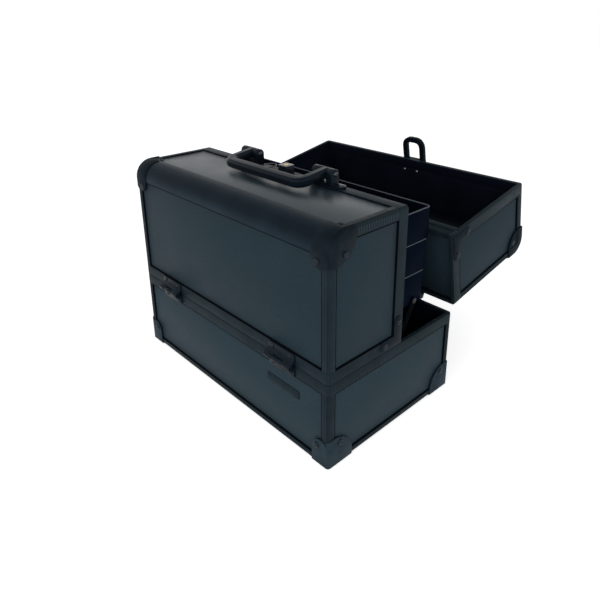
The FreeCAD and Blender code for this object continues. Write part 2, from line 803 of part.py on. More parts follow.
def tray(level):
    """Open moulded tray; level 0 is the lowest."""
    y1 = front_y + tray_back_from_front + level * tray_step_back
    y0 = y1 - tray_depth
    z0 = tray_floor_z + level * tray_pitch
    half = tray_length / 2
    shell = rounded_block(-half, half, y0, y1, z0, z0 + tray_height, tray_corner_radius)
    room = rounded_block(
        -half + tray_wall, half - tray_wall, y0 + tray_wall, y1 - tray_wall,
        z0 + tray_wall, z0 + tray_height + past, tray_corner_radius - tray_wall)
    return shell.cut(room)


def pivot_rivets(places):
    """Shouldered rivets on a tray's ends that the arms turn on."""
    wall_x = tray_length / 2
    shank_length = arm_gap + arm_thickness + pivot_head_gap
    rivets = []
    for y, z in places:
        shank = bar(pivot_radius, point(wall_x, y, z), along_x, shank_length, rivet_sides)
        head = rivet(point(wall_x + shank_length, y, z), along_x, pivot_head_radius, pivot_head_height)
        rivets += both_ends(shank.fuse(head))
    return rivets


def arm(places):
    """Flat steel arm with a round eye at each place, in line from the first to the last."""
    x0 = tray_length / 2 + arm_gap
    first = places[0]
    last = places[-1]
    length = math.hypot(last[0] - first[0], last[1] - first[1])
    lean = math.degrees(math.atan2(last[0] - first[0], last[1] - first[1]))
    half = arm_width / 2
    strip = block(0, arm_thickness, -half, half, 0, length)
    strip = strip.fuse([bar(half, origin, along_x, arm_thickness, rivet_sides),
                        bar(half, point(0, 0, length), along_x, arm_thickness, rivet_sides)])
    strip = moved(turned(strip, origin, along_x, -lean), x0, first[0], first[1])
    bore_radius = pivot_radius + running_clearance
    bores = []
    for y, z in places:
        start = point(x0 - past, y, z)
        bores.append(hole(bore_radius, start, along_x, arm_thickness + 2 * past, rivet_sides))
    return both_ends(strip.cut(bores))


def base_stud(y, z):
    """Stud on a base end panel that a base arm turns on."""
    wall_x = half_length - panel_back - lining_thickness
    arm_in = tray_length / 2 + arm_gap
    arm_out = arm_in + arm_thickness + pivot_head_gap
    head_place = point(arm_in - pivot_head_gap, y, z)
    spacer = bar(stud_spacer_radius, point(arm_out, y, z), along_x, wall_x - arm_out, rivet_sides)
    shank = bar(pivot_radius, head_place, along_x, arm_out - head_place.x, rivet_sides)
    head = rivet(head_place, -along_x, pivot_head_radius, pivot_head_height)
    return both_ends(spacer.fuse([shank, head]))


os.makedirs("parts", exist_ok=True)

# Base
panels_of_base = base_panels()
all_base_panels = [panels_of_base["base_front_panel"], panels_of_base["base_rear_panel"],
                   panels_of_base["base_bottom_panel"]] + panels_of_base["base_end_panels"]
for node, shape in panels_of_base.items():
    export(node, shape)
top_rail, bottom_rail, posts = base_frame(all_base_panels)
export("base_top_rail", top_rail)
export("base_bottom_rail", bottom_rail)
export("base_corner_posts", posts)
export("base_lining", base_lining())
export("base_corner_protectors", base_protectors())
export("name_plate", name_plate())

# Hinges: lower leaves and pins on the base, upper leaves on the lids
lower_leaf = hinge_leaf(False)
upper_leaf = hinge_leaf(True)
lower_heads = hinge_rivet_pair(False)
upper_heads = hinge_rivet_pair(True)
pin = rod(hinge_pin_radius, point(-hinge_width / 2, -hinge_axis_out, 0), along_x, hinge_width)
front_leaves = hinge_pair(lower_leaf, front_y)
front_pins = hinge_pair(pin, front_y)
front_heads = hinge_pair(lower_heads, front_y)
export("lower_hinge_leaves", front_leaves + [leaf.mirror(origin, along_y) for leaf in front_leaves])
export("hinge_pins", front_pins + [piece.mirror(origin, along_y) for piece in front_pins])
export("base_rivets", base_rivets() + front_heads + [heads.mirror(origin, along_y) for heads in front_heads])
front_upper_leaves = hinge_pair(upper_leaf, front_y)
front_upper_heads = hinge_pair(upper_heads, front_y)
export("front_hinge_upper_leaves", front_upper_leaves)
export("rear_hinge_upper_leaves", [swung_open(leaf.mirror(origin, along_y)) for leaf in front_upper_leaves])

# Front lid
wall, top, ends = lid_panels(front_lid_depth)
bottom_rail, split_rail, frames, crown = lid_frame(front_lid_depth, [wall, top] + ends)
top_rivets = both_ends(rivet(
    point(half_length - top_rivet_from_end, top_rivet_from_front, lid_height - panel_inset),
    along_z, rivet_radius, rivet_height))
export("front_lid_front_panel", placed(wall, to_front))
export("front_lid_top_panel", placed(top, to_front))
export("front_lid_end_panels", placed(ends, to_front))
export("front_lid_bottom_rail", placed(bottom_rail, to_front))
export("front_lid_split_rail", placed(split_rail, to_front))
export("front_lid_edge_frames", placed(frames, to_front))
export("front_lid_crown_edge", placed(crown, to_front))
export("front_lid_lining", placed(lid_lining(front_lid_depth), to_front))
export("front_lid_corner_protectors", placed(lid_protectors(front_lid_depth), to_front))
export("front_lid_corner_plates", placed(corner_plates(front_lid_depth), to_front))
export("front_lid_rivets", placed(lid_rivets(front_lid_depth) + top_rivets, to_front) + front_upper_heads)

# Rear bin lid
wall, top, ends = lid_panels(rear_lid_depth)
floor, floor_rail = rear_floor(rear_lid_depth)
bottom_rail, split_rail, frames, crown = lid_frame(rear_lid_depth, [wall, top] + ends)
hasp_plate, hasp_loop, hasp_rivets = hasp_pieces(rear_lid_depth)
rear_heads = [swung_open(heads.mirror(origin, along_y)) for heads in front_upper_heads]
export("rear_lid_rear_panel", placed(wall, to_rear))
export("rear_lid_top_panel", placed(top, to_rear))
export("rear_lid_end_panels", placed(ends, to_rear))
export("rear_lid_bottom_rail", placed(bottom_rail, to_rear))
export("rear_lid_split_rail", placed(split_rail, to_rear))
export("rear_lid_edge_frames", placed(frames, to_rear))
export("rear_lid_crown_edge", placed(crown, to_rear))
export("rear_lid_lining", placed(lid_lining(rear_lid_depth), to_rear))
export("rear_lid_floor_panel", placed(floor, to_rear))
export("rear_lid_floor_rail", placed(floor_rail, to_rear))
export("rear_lid_corner_protectors", placed(lid_protectors(rear_lid_depth), to_rear))
export("rear_lid_corner_plates", placed(corner_plates(rear_lid_depth), to_rear))
export("rear_lid_rivets", placed(lid_rivets(rear_lid_depth) + hasp_rivets, to_rear) + rear_heads)
export("hasp_plate", placed(hasp_plate, to_rear))
export("hasp_loop", placed(hasp_loop, to_rear))

# Handle and lock
handle_axis = point(0, split_y - handle_pivot_from_split, top_z + handle_pivot_rise)
bail = turned(handle_bail(), origin, along_x, handle_droop)
export("handle", moved(bail, handle_axis.x, handle_axis.y, handle_axis.z))
brackets = []
for bracket in both_ends(handle_bracket()):
    brackets.append(moved(bracket, handle_axis.x, handle_axis.y, handle_axis.z))
export("handle_brackets", brackets)
lock_body, lock_plate, lock_cylinder = lock_pieces()
export("lock_body", lock_body)
export("lock_plate", lock_plate)
export("lock_cylinder", lock_cylinder)
export("keys", keys())

# Trays and arms: the base arms lean back by half the stack's swing, the fan arms by the fan lean
tray_pivot_z = tray_floor_z + tray_pivot_rise
front_stud_y = front_y + front_stud_from_front
rear_stud_y = front_y + rear_stud_from_front
front_pivot_y = front_stud_y + stack_swing / 2
rear_pivot_y = rear_stud_y + stack_swing / 2
fan_y = front_y + fan_pivot_from_front
fan_z = tray_floor_z + fan_pivot_rise
long_places = [(fan_y + level * fan_step, fan_z + level * tray_pitch) for level in range(3)]
lower_places = [(y + fan_arm_spacing, z) for y, z in long_places[:2]]
upper_places = [(y - fan_arm_spacing, z) for y, z in long_places[1:]]
export("tray_arm_studs", base_stud(front_stud_y, base_stud_z) + base_stud(rear_stud_y, base_stud_z))
export("base_front_arms", arm([(front_stud_y, base_stud_z), (front_pivot_y, tray_pivot_z)]))
export("base_rear_arms", arm([(rear_stud_y, base_stud_z), (rear_pivot_y, tray_pivot_z)]))
export("long_fan_arms", arm(long_places))
export("lower_fan_arms", arm(lower_places))
export("upper_fan_arms", arm(upper_places))
export("lower_tray", tray(0))
export("middle_tray", tray(1))
export("upper_tray", tray(2))
export("lower_tray_rivets", pivot_rivets(
    [(front_pivot_y, tray_pivot_z), (rear_pivot_y, tray_pivot_z), long_places[0], lower_places[0]]))
export("middle_tray_rivets", pivot_rivets([long_places[1], lower_places[1], upper_places[0]]))
export("upper_tray_rivets", pivot_rivets([long_places[2], upper_places[1]]))
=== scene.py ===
import json
import math

import bmesh
import bpy
from mathutils import Matrix, Vector


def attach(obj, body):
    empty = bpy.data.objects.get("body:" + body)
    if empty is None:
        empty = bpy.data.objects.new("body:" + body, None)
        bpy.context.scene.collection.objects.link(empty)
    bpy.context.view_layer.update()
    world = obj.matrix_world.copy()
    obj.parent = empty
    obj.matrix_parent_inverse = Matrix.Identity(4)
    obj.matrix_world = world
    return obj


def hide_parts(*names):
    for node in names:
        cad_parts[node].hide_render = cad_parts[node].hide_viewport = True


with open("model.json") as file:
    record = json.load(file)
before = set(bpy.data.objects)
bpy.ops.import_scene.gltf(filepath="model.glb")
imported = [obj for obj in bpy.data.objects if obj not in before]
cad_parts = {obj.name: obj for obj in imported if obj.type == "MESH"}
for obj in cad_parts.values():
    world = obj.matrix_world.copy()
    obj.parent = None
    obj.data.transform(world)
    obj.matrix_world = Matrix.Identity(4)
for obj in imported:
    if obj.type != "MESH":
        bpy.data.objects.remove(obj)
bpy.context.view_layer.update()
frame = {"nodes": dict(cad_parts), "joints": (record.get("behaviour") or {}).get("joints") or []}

bl_info = {
    "name": "Makeup train case looks",
    "version": (1, 0, 0),
    "blender": (4, 5, 0),
    "location": "View3D > Sidebar > Train Case",
    "description": "Finishes, rivets, seals, keys and studio stage for a framed makeup train case",
    "category": "Object",
}

MILLIMETRE = 0.001
LIDS = ("front_lid", "rear_lid")
SHELLS = ("base",) + LIDS
TRAYS = ("lower_tray", "middle_tray", "upper_tray")

SMOOTH_ANGLE = math.radians(38)
FLAT_ANGLE = math.radians(1)
WELD_REACH = 0.002 * MILLIMETRE
TURNED_SEGMENTS = 28
ARC_STEPS = 6
MOULDED_SEGMENTS = 3

# Rounding of the edges of hardware.
GRIP_ROUND = 1.6 * MILLIMETRE
LOOP_ROUND = 1.0 * MILLIMETRE
BRACKET_ROUND = 0.8 * MILLIMETRE
TRAY_ROUND = 0.6 * MILLIMETRE
LOCK_ROUND = 0.5 * MILLIMETRE
HINGE_ROUND = 0.3 * MILLIMETRE
PLATE_ROUND = 0.25 * MILLIMETRE
KEY_ROUND = 0.15 * MILLIMETRE

# Places on the solids that the looks go by.
BRACKET_FOOT_LENGTH = 15 * MILLIMETRE
BRACKET_FOOT_HEIGHT = 3 * MILLIMETRE
HASP_REACH = 30 * MILLIMETRE
PROTECTOR_REACH = 28 * MILLIMETRE
WINDOW_RADIUS = 12 * MILLIMETRE
RIM_DEPTH = 0.7 * MILLIMETRE

# Ribs on the end rails: margins below and above, and half widths in shares of the pitch.
RIB_FOOT_MARGIN = 2.2 * MILLIMETRE
RIB_TOP_MARGIN = 3.52 * MILLIMETRE
RIB_SINK = 0.2 * MILLIMETRE
RIB_FOOT_SHARE = 0.28
RIB_CREST_SHARE = 0.18

# (inset, height) round a dark bead that stands in for the shade in a panel's groove, in shares of
# its width.
SHADE_BEAD_SECTION = ((0, 0), (0, 1), (0.35, 0.42), (1, 0.06), (1, 0))

# (radius, height) from the rim to the middle: shares of a rivet head, millimetres of a screw head.
RIVET_HEAD = (
    (1, 0), (1, 0.22), (0.93, 0.48), (0.78, 0.78), (0.58, 0.95), (0.42, 1),
    (0.30, 0.93), (0.20, 0.74), (0.1, 0.68), (0, 0.66))
SCREW_HEAD = ((3.2, 0), (3.2, 0.5), (2.9, 1.0), (2.0, 1.35), (1.75, 1.4), (0, 1.45))
PIVOT_SHANK_RADIUS = 2.0 * MILLIMETRE
PIVOT_HEAD_HEIGHT = 1.0 * MILLIMETRE

# Key in millimetres along and across its blade, from the middle of its bow.
KEY_BOW_RADIUS = 6.0
KEY_BOW_OPENING = 24
KEY_BOW_STEPS = 20
KEY_BLADE = [
    (7.5, -2.4), (8.5, -1.6), (9.5, -1.6), (11.1, -0.8), (12.7, -1.4), (14.3, -0.4), (15.9, -1.2),
    (17.5, -0.6), (19.1, -1.5), (20.9, 0.0), (19.5, 1.6), (8.5, 1.6), (7.5, 2.4)]
KEY_END_REACH = 4 * MILLIMETRE
RING_STEPS = 40
WIRE_STEPS = 8

# Noise stays mostly between these values.
NOISE_LOW, NOISE_HIGH = 0.3, 0.7
# A face whose normal has at least this share along X is on an end of the case.
END_SHARE = 0.7
# Painted light and shade on a crown edge, in shares of its colour: on its wall, round its bend and
# on top, by how far a face looks up.
CROWN_WALL_PAINTED_LIGHT, CROWN_BEND_PAINTED_SHADE, CROWN_TOP_PAINTED_LIGHT = 1.6, 0.85, 1.4
COOL_GLOSS = (0.55, 0.78, 1.0, 1)

WHITE = (1, 1, 1, 1)
FRONT_LIGHT_PLACE, FRONT_LIGHT_SIZE = (0.25, -1.45, 0.55), (2.0, 1.0)
END_LIGHT_PLACE, END_LIGHT_SIZE = (1.60, -0.10, 0.45), (1.6, 0.9)
LIGHT_AIM = Vector((0, 0, 0.14))
SENSOR_WIDTH = 36
NEAREST_VIEW = 0.01
FLOOR_REACH = 6.0
FLOOR_GLOW = 0.6


def colour_property(name, description, *channels):
    """A colour, with its red, green and blue at first."""
    return bpy.props.FloatVectorProperty(
        name=name, description=description, subtype="COLOR", size=4, min=0, max=1,
        default=channels + (1,))


def length_property(name, description, millimetres):
    """A small length."""
    return bpy.props.FloatProperty(
        name=name, description=description, unit="LENGTH", min=0,
        default=millimetres * MILLIMETRE)


class CaseFinishes(bpy.types.PropertyGroup):
    """Colours of the case."""

    facing_colour: colour_property(
        "Lid facing", "Pebbled facing of the lids", 0.0140, 0.0260, 0.0345)
    # A lighter copy of the lids' facing colour: painted light on the base.
    base_lit_colour: colour_property(
        "Base facing", "Pebbled facing of the base", 0.0200, 0.0350, 0.0450)
    frame_colour: colour_property(
        "Frame", "Anodised rails and posts, and the bare plate", 0.0105, 0.0185, 0.0240)
    rib_colour: colour_property("Ribs", "Worn ribs on the end rails", 0.0230, 0.0360, 0.0440)
    # Darker than the frame colour: painted shade that stands in for the crown's dark reflection.
    crown_shaded_colour: colour_property("Crown", "Rounded top edges", 0.0062, 0.0118, 0.0175)
    lacquer_colour: colour_property(
        "Lacquer", "Pressed corners of the base", 0.0190, 0.0315, 0.0420)
    shade_colour: colour_property(
        "Dark lacquer", "Lid corners, hinges, rivets, screws and lock", 0.0060, 0.0108, 0.0155)
    tray_colour: colour_property("Trays", "Moulded trays", 0.0018, 0.0038, 0.0092)
    # Painted highlight: a light band along the trays' top edges.
    rim_highlight_colour: colour_property("Tray rims", "Worn top edges of the trays", 0.090, 0.105, 0.125)
    # The lining boards' own colour, also laid on the frames' inner faces as painted shade.
    lining_and_inner_shade_colour: colour_property(
        "Lining", "Lining boards and inner faces of the frames", 0.0036, 0.0055, 0.0105)
    handle_colour: colour_property(
        "Handle", "Moulded handle, its brackets and the hasp", 0.0030, 0.0054, 0.0088)
    # Painted shade on the beads in the panel grooves; the tray arms and dark pivots have this dark
    # colour of their own.
    groove_shade_and_arm_colour: colour_property(
        "Seals", "Beads in the panel grooves, tray arms and dark pivots", 0.0012, 0.0015, 0.0022)
    rivet_colour: colour_property(
        "Bright rivets", "Rivets of the hasp inside the rear lid", 0.30, 0.31, 0.33)
    pivot_colour: colour_property(
        "Bright pivots", "Pivot rivets of the lowest tray", 0.018, 0.020, 0.023)
    plating_colour: colour_property("Lock plate", "Plating of the lock's top", 0.14, 0.155, 0.175)
    brass_colour: colour_property("Brass", "Lock cylinder", 0.62, 0.44, 0.17)
    key_colour: colour_property("Keys", "Steel of the keys and their ring", 0.07, 0.075, 0.085)


class CaseDetails(bpy.types.PropertyGroup):
    """Small sizes that the looks add to the case."""

    frame_round: length_property("Frame edge", "Rounding of the frame's edges", 0.8)
    sheet_round: length_property("Sheet edge", "Rounding of panels and pressed sheet", 0.35)
    # Width of the dark bead that stands in for the shade in a panel's groove.
    groove_shade_width: length_property("Seal", "Width of the bead in a panel's groove", 1.8)
    rib_pitch: length_property(
        "Rib pitch", "Spacing of the end rails' ribs and the posts' flutes", 3.7)
    rib_height: length_property("Rib height", "How far the ribs stand off the end rails", 0.45)
    hatch_pitch: length_property(
        "Hatch pitch", "Spacing of the fine hatching on the seam rails", 2.2)
    pebble_size: length_property("Pebble", "Grain size of the facing", 1.2)


class CaseStage(bpy.types.PropertyGroup):
    """Camera, light and floor."""

    camera_place: bpy.props.FloatVectorProperty(
        name="Camera", description="Place of the camera", subtype="TRANSLATION", unit="LENGTH",
        size=3, default=(0.52097, -0.45090, 0.46598))
    camera_right: bpy.props.FloatVectorProperty(
        name="Right", description="Direction to the right of the picture", subtype="XYZ",
        size=3, default=(0.68994, 0.72385, -0.00379))
    camera_up: bpy.props.FloatVectorProperty(
        name="Up", description="Direction up the picture", subtype="XYZ",
        size=3, default=(-0.24675, 0.24010, 0.93887))
    lens: bpy.props.FloatProperty(
        name="Lens", description="Focal length in millimetres", min=1, default=34.51)
    picture_shift: bpy.props.FloatVectorProperty(
        name="Shift", description="Shift of the picture off the lens's axis", size=2,
        default=(-0.02128, -0.14079))
    key_power: bpy.props.FloatProperty(
        name="Key light", description="Power of the large soft light in front", unit="POWER",
        min=0, default=13)
    fill_power: bpy.props.FloatProperty(
        name="Fill light", description="Power of the soft light at the end", unit="POWER",
        min=0, default=8)
    room_strength: bpy.props.FloatProperty(
        name="Room", description="Strength of the light from all round", min=0, default=0.55)
    floor_colour: colour_property("Floor", "Colour of the floor", 0.86, 0.86, 0.86)


class Shade:
    """A material's node tree round one principled shader."""

    def __init__(self, name, colour, sheen, metallic=0.0, specular=0.5):
        self.material = bpy.data.materials.new(name)
        self.material.use_nodes = True
        self.nodes = self.material.node_tree.nodes
        self.links = self.material.node_tree.links
        self.shader = self.nodes["Principled BSDF"]
        self.shader.inputs["Base Color"].default_value = colour
        self.shader.inputs["Roughness"].default_value = sheen
        self.shader.inputs["Metallic"].default_value = metallic
        self.shader.inputs["Specular IOR Level"].default_value = specular
        self.sheen = sheen
        coordinates = self.nodes.new("ShaderNodeTexCoord")
        self.place = coordinates.outputs["Object"]
        self.normal = coordinates.outputs["Normal"]

    def add(self, kind, inputs, operation=None):
        """A new node of a kind, each of its inputs linked to a value or set to a constant."""
        node = self.nodes.new(kind)
        if operation:
            node.operation = operation
        for name, value in inputs.items():
            if isinstance(value, bpy.types.NodeSocket):
                self.links.new(value, node.inputs[name])
            else:
                node.inputs[name].default_value = value
        return node

    def noise(self, size, detail=3.0, lengthwise=None):
        """Cloudy pattern with spots of a size in metres, scaled along the length where asked."""
        place = self.place
        if lengthwise is not None:
            drawn = {"Vector": place, "Scale": (lengthwise, 1.0, 1.0)}
            place = self.add("ShaderNodeMapping", drawn).outputs["Vector"]
        inputs = {"Vector": place, "Scale": 1.0 / size, "Detail": detail}
        return self.add("ShaderNodeTexNoise", inputs).outputs["Fac"]

    def pebbles(self, size):
        """Rounded grains of a size in metres."""
        node = self.add("ShaderNodeTexVoronoi", {"Vector": self.place, "Scale": 1.0 / size})
        node.feature = "SMOOTH_F1"
        return node.outputs["Distance"]

    def span(self, value, low, high, to_low, to_high):
        """A value moved from one range to another."""
        ends = {"From Min": low, "From Max": high, "To Min": to_low, "To Max": to_high}
        return self.add("ShaderNodeMapRange", {"Value": value, **ends}).outputs["Result"]

    def combine(self, operation, *values, kind="ShaderNodeMath", result="Value"):
        """A math node's operation on values or constants."""
        return self.add(kind, dict(enumerate(values)), operation).outputs[result]

    def axes(self, vector):
        """The X, Y and Z of a vector."""
        return self.add("ShaderNodeSeparateXYZ", {"Vector": vector}).outputs

    def shut(self, vector, turn):
        """A vector as it is when the lid that the surface is on shuts by a turn about X."""
        inputs = {"Vector": vector, "Rotation": (turn, 0, 0)}
        return self.add("ShaderNodeMapping", inputs).outputs["Vector"]

    def tint(self, value, dark, light):
        """Base colour between two shares of the shader's colour."""
        colour = self.shader.inputs["Base Color"].default_value[:3]
        ramp = self.nodes.new("ShaderNodeValToRGB")
        stops = ((NOISE_LOW, dark), (NOISE_HIGH, light))
        for element, (position, share) in zip(ramp.color_ramp.elements, stops):
            element.position = position
            element.color = [channel * share for channel in colour] + [1]
        self.links.new(value, ramp.inputs["Fac"])
        self.links.new(ramp.outputs["Color"], self.shader.inputs["Base Color"])

    def roughen(self, value, less, more):
        """Roughness that a pattern moves below and above the sheen."""
        spread = self.span(value, NOISE_LOW, NOISE_HIGH, self.sheen - less, self.sheen + more)
        self.links.new(spread, self.shader.inputs["Roughness"])

    def scale_colour(self, factor):
        """Make the base colour a number of times lighter or darker."""
        socket = self.shader.inputs["Base Color"]
        inputs = {0: socket.links[0].from_socket, "Scale": factor}
        node = self.add("ShaderNodeVectorMath", inputs, "SCALE")
        self.links.new(node.outputs["Vector"], socket)

    def paint(self, mask, colour):
        """Lay another colour over the base colour where a mask is 1."""
        socket = self.shader.inputs["Base Color"]
        node = self.nodes.new("ShaderNodeMix")
        node.data_type = "RGBA"
        inputs = {each.identifier: each for each in node.inputs}
        outputs = {each.identifier: each for each in node.outputs}
        self.links.new(mask, inputs["Factor_Float"])
        self.links.new(socket.links[0].from_socket, inputs["A_Color"])
        inputs["B_Color"].default_value = colour
        self.links.new(outputs["Result_Color"], socket)

    def bump(self, value, strength, height):
        """Relief of a height in metres."""
        inputs = {"Height": value, "Strength": strength, "Distance": height}
        node = self.add("ShaderNodeBump", inputs)
        self.links.new(node.outputs["Normal"], self.shader.inputs["Normal"])

    def looks_in(self, centre):
        """1 on faces that look towards a place and 0 on the others."""
        kind = "ShaderNodeVectorMath"
        reach = self.combine("SUBTRACT", self.place, centre, kind=kind, result="Vector")
        along = self.combine("DOT_PRODUCT", reach, self.normal, kind=kind)
        return self.combine("LESS_THAN", along, 0.0)

    def uplook(self, turn):
        """How far a face looks up or down, 0 to 1, with its lid shut by a turn."""
        return self.combine("ABSOLUTE", self.axes(self.shut(self.normal, turn))["Z"])

    def ribs(self, pitch, turn, ends):
        """Fine lines, 0 to 1: along X on long sides and, where asked, along the depth on ends."""
        place = self.axes(self.shut(self.place, turn))
        sideways = self.combine("ABSOLUTE", self.axes(self.normal)["X"])
        on_end = self.combine("GREATER_THAN", sideways, END_SHARE)
        end_part = self.combine("MULTIPLY", place["Y"], on_end) if ends else 0.0
        on_side = self.combine("SUBTRACT", 1.0, on_end)
        run = self.combine("ADD", end_part, self.combine("MULTIPLY", place["X"], on_side))
        wave = self.combine("SINE", self.combine("MULTIPLY", run, 2 * math.pi / pitch))
        return self.span(wave, -1.0, 1.0, 0.0, 1.0)


def facing_finish(name, colour, details, sheen, specular, relief):
    """Pebble-embossed facing: fine grains, with slow changes of tone and sheen."""
    shade = Shade(name, colour, sheen, specular=specular)
    grain = shade.pebbles(details.pebble_size)
    fine = shade.noise(size=0.6 * details.pebble_size)
    cloud = shade.noise(size=50 * MILLIMETRE)
    cloud_part = shade.combine("MULTIPLY", cloud, 0.55)
    grain_part = shade.combine("MULTIPLY", grain, 0.5)
    fine_part = shade.combine("MULTIPLY", fine, 0.4)
    shade.tint(shade.combine("ADD", cloud_part, grain_part), dark=0.86, light=1.16)
    shade.roughen(cloud, less=0.05, more=0.06)
    shade.bump(shade.combine("ADD", grain, fine_part), relief, height=0.25 * MILLIMETRE)
    return shade.material


def frame_finish(name, colour, inner_shade_colour, details, centre, turn, kind, sheen, specular):
    """Black anodised profile: satin, faintly drawn, lined where asked; painted shade in the
    lining's colour on faces that look into the case, and painted light and shade on a crown.
    """
    shade = Shade(name, colour, sheen, specular=specular)
    drawn = shade.noise(size=4 * MILLIMETRE, lengthwise=0.12)
    shade.tint(shade.noise(size=30 * MILLIMETRE), dark=0.85, light=1.2)
    shade.roughen(drawn, less=0.06, more=0.06)
    relief = shade.combine("MULTIPLY", drawn, 0.1)
    # Painted light and shade: the crown's colour is raised on its wall and top and lowered round
    # its bend, by how far each face looks up.
    if kind == "crown":
        lift = shade.uplook(turn)
        wall = shade.span(lift, 0.0, 0.5, CROWN_WALL_PAINTED_LIGHT, CROWN_BEND_PAINTED_SHADE)
        top = shade.span(lift, 0.75, 1.0, CROWN_BEND_PAINTED_SHADE, CROWN_TOP_PAINTED_LIGHT)
        shade.scale_colour(shade.combine("MAXIMUM", wall, top))
    if kind in ("hatched", "fluted"):
        hatched = kind == "hatched"
        pitch = details.hatch_pitch if hatched else details.rib_pitch
        ribs = shade.ribs(pitch, turn, ends=hatched)
        shade.scale_colour(shade.span(ribs, 0.0, 1.0, 0.75, 1.2))
        relief = shade.combine("ADD", relief, ribs)
    # Painted shade: faces that look into the case take the lining's dark colour.
    shade.paint(shade.looks_in(centre), inner_shade_colour)
    shade.bump(relief, strength=0.4, height=0.3 * MILLIMETRE)
    return shade.material


def lacquer_finish(name, colour, sheen=0.33, specular=0.02):
    """Black lacquer on pressed steel: slight orange peel and handling marks."""
    shade = Shade(name, colour, sheen, specular=specular)
    peel = shade.noise(size=3.5 * MILLIMETRE)
    marks = shade.noise(size=12 * MILLIMETRE, detail=6.0)
    shade.tint(marks, dark=0.8, light=1.3)
    shade.roughen(marks, less=0.07, more=0.08)
    shade.bump(peel, strength=0.10, height=0.15 * MILLIMETRE)
    return shade.material


def moulded_finish(name, colour, sheen, grain, specular, rim=None):
    """Moulded plastic: fine grain and flow marks; rim is a height and the colour of a painted
    highlight above it.
    """
    shade = Shade(name, colour, sheen, specular=specular)
    shade.shader.inputs["Specular Tint"].default_value = COOL_GLOSS
    flow = shade.noise(size=45 * MILLIMETRE, detail=2.0)
    spark = shade.noise(size=grain)
    shade.tint(flow, dark=0.85, light=1.2)
    # Painted highlight: a light band along the top edge of the moulding.
    if rim:
        height, painted_highlight = rim
        above = shade.combine("GREATER_THAN", shade.axes(shade.place)["Z"], height)
        shade.paint(above, painted_highlight)
    shade.roughen(flow, less=0.05, more=0.06)
    shade.bump(spark, strength=0.12, height=0.08 * MILLIMETRE)
    return shade.material


def lining_finish(name, colour):
    """Matt lining board with a close fibre grain."""
    shade = Shade(name, colour, sheen=0.8, specular=0.02)
    fibre = shade.noise(size=1.2 * MILLIMETRE, detail=5.0)
    shade.tint(shade.noise(size=40 * MILLIMETRE), dark=0.8, light=1.25)
    shade.roughen(fibre, less=0.08, more=0.1)
    shade.bump(fibre, strength=0.3, height=0.12 * MILLIMETRE)
    return shade.material


def plated_finish(name, colour, sheen):
    """Plated or bare metal: fine brush lines and dulled patches."""
    shade = Shade(name, colour, sheen, metallic=1.0)
    brushed = shade.noise(size=0.9 * MILLIMETRE, lengthwise=0.15)
    dull = shade.noise(size=6 * MILLIMETRE)
    shade.tint(dull, dark=0.8, light=1.05)
    shade.roughen(dull, less=0.06, more=0.12)
    shade.bump(brushed, strength=0.08, height=0.05 * MILLIMETRE)
    return shade.material


def smoothing_group():
    """Node group that smooths a mesh and keeps the edges sharper than SMOOTH_ANGLE."""
    group = bpy.data.node_groups.new("smooth_below_angle", "GeometryNodeTree")
    for side in ("INPUT", "OUTPUT"):
        group.interface.new_socket(
            name="Geometry", in_out=side, socket_type="NodeSocketGeometry")
    start = group.nodes.new("NodeGroupInput")
    end = group.nodes.new("NodeGroupOutput")
    faces = group.nodes.new("GeometryNodeSetShadeSmooth")
    faces.inputs["Shade Smooth"].default_value = True
    edges = group.nodes.new("GeometryNodeSetShadeSmooth")
    edges.domain = "EDGE"
    edges.inputs["Shade Smooth"].default_value = False
    angle = group.nodes.new("GeometryNodeInputMeshEdgeAngle")
    sharp = group.nodes.new("FunctionNodeCompare")
    sharp.data_type = "FLOAT"
    sharp.operation = "GREATER_THAN"
    sharp.inputs["B"].default_value = SMOOTH_ANGLE
    for before, after in ((start, faces), (faces, edges), (edges, end)):
        group.links.new(before.outputs["Geometry"], after.inputs["Geometry"])
    group.links.new(angle.outputs["Unsigned Angle"], sharp.inputs["A"])
    group.links.new(sharp.outputs["Result"], edges.inputs["Selection"])
    return group


def soften(piece, width, segments=2, merge_flats=False):
    """Rounded edges and smooth shading by modifiers, with flat facets merged first where asked."""
    weld = piece.modifiers.new("weld", "WELD")
    weld.merge_threshold = WELD_REACH
    if merge_flats:
        flats = piece.modifiers.new("flats", "DECIMATE")
        flats.decimate_type = "DISSOLVE"
        flats.angle_limit = FLAT_ANGLE
    if width > 0:
        bevel = piece.modifiers.new("edge", "BEVEL")
        bevel.limit_method = "ANGLE"
        bevel.angle_limit = SMOOTH_ANGLE
        bevel.width = width
        bevel.segments = segments
        bevel.use_clamp_overlap = True
    smooth = piece.modifiers.new("smooth", "NODES")
    smooth.node_group = bpy.data.node_groups.get("smooth_below_angle") or smoothing_group()


def dress(nodes, material, width, segments=2, merge_flats=False):
    """Give CAD nodes a finish and softened edges."""
    for node in nodes:
        piece = frame["nodes"][node]
        piece.data.materials.clear()
        piece.data.materials.append(material)
        soften(piece, width, segments, merge_flats)


def new_piece(name, builder, material, body):
    """A mesh piece in the row frame that rides on a body."""
    mesh = bpy.data.meshes.new(name)
    builder.normal_update()
    builder.to_mesh(mesh)
    builder.free()
    piece = bpy.data.objects.new(name, mesh)
    bpy.context.scene.collection.objects.link(piece)
    mesh.materials.append(material)
    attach(piece, body)
    return piece


def centre_of(places):
    """Mean of some places."""
    return sum(places, Vector()) / len(places)


def box_of(places):
    """Lowest and highest corner of some places."""
    return [Vector([end(place[axis] for place in places) for axis in range(3)])
            for end in (min, max)]


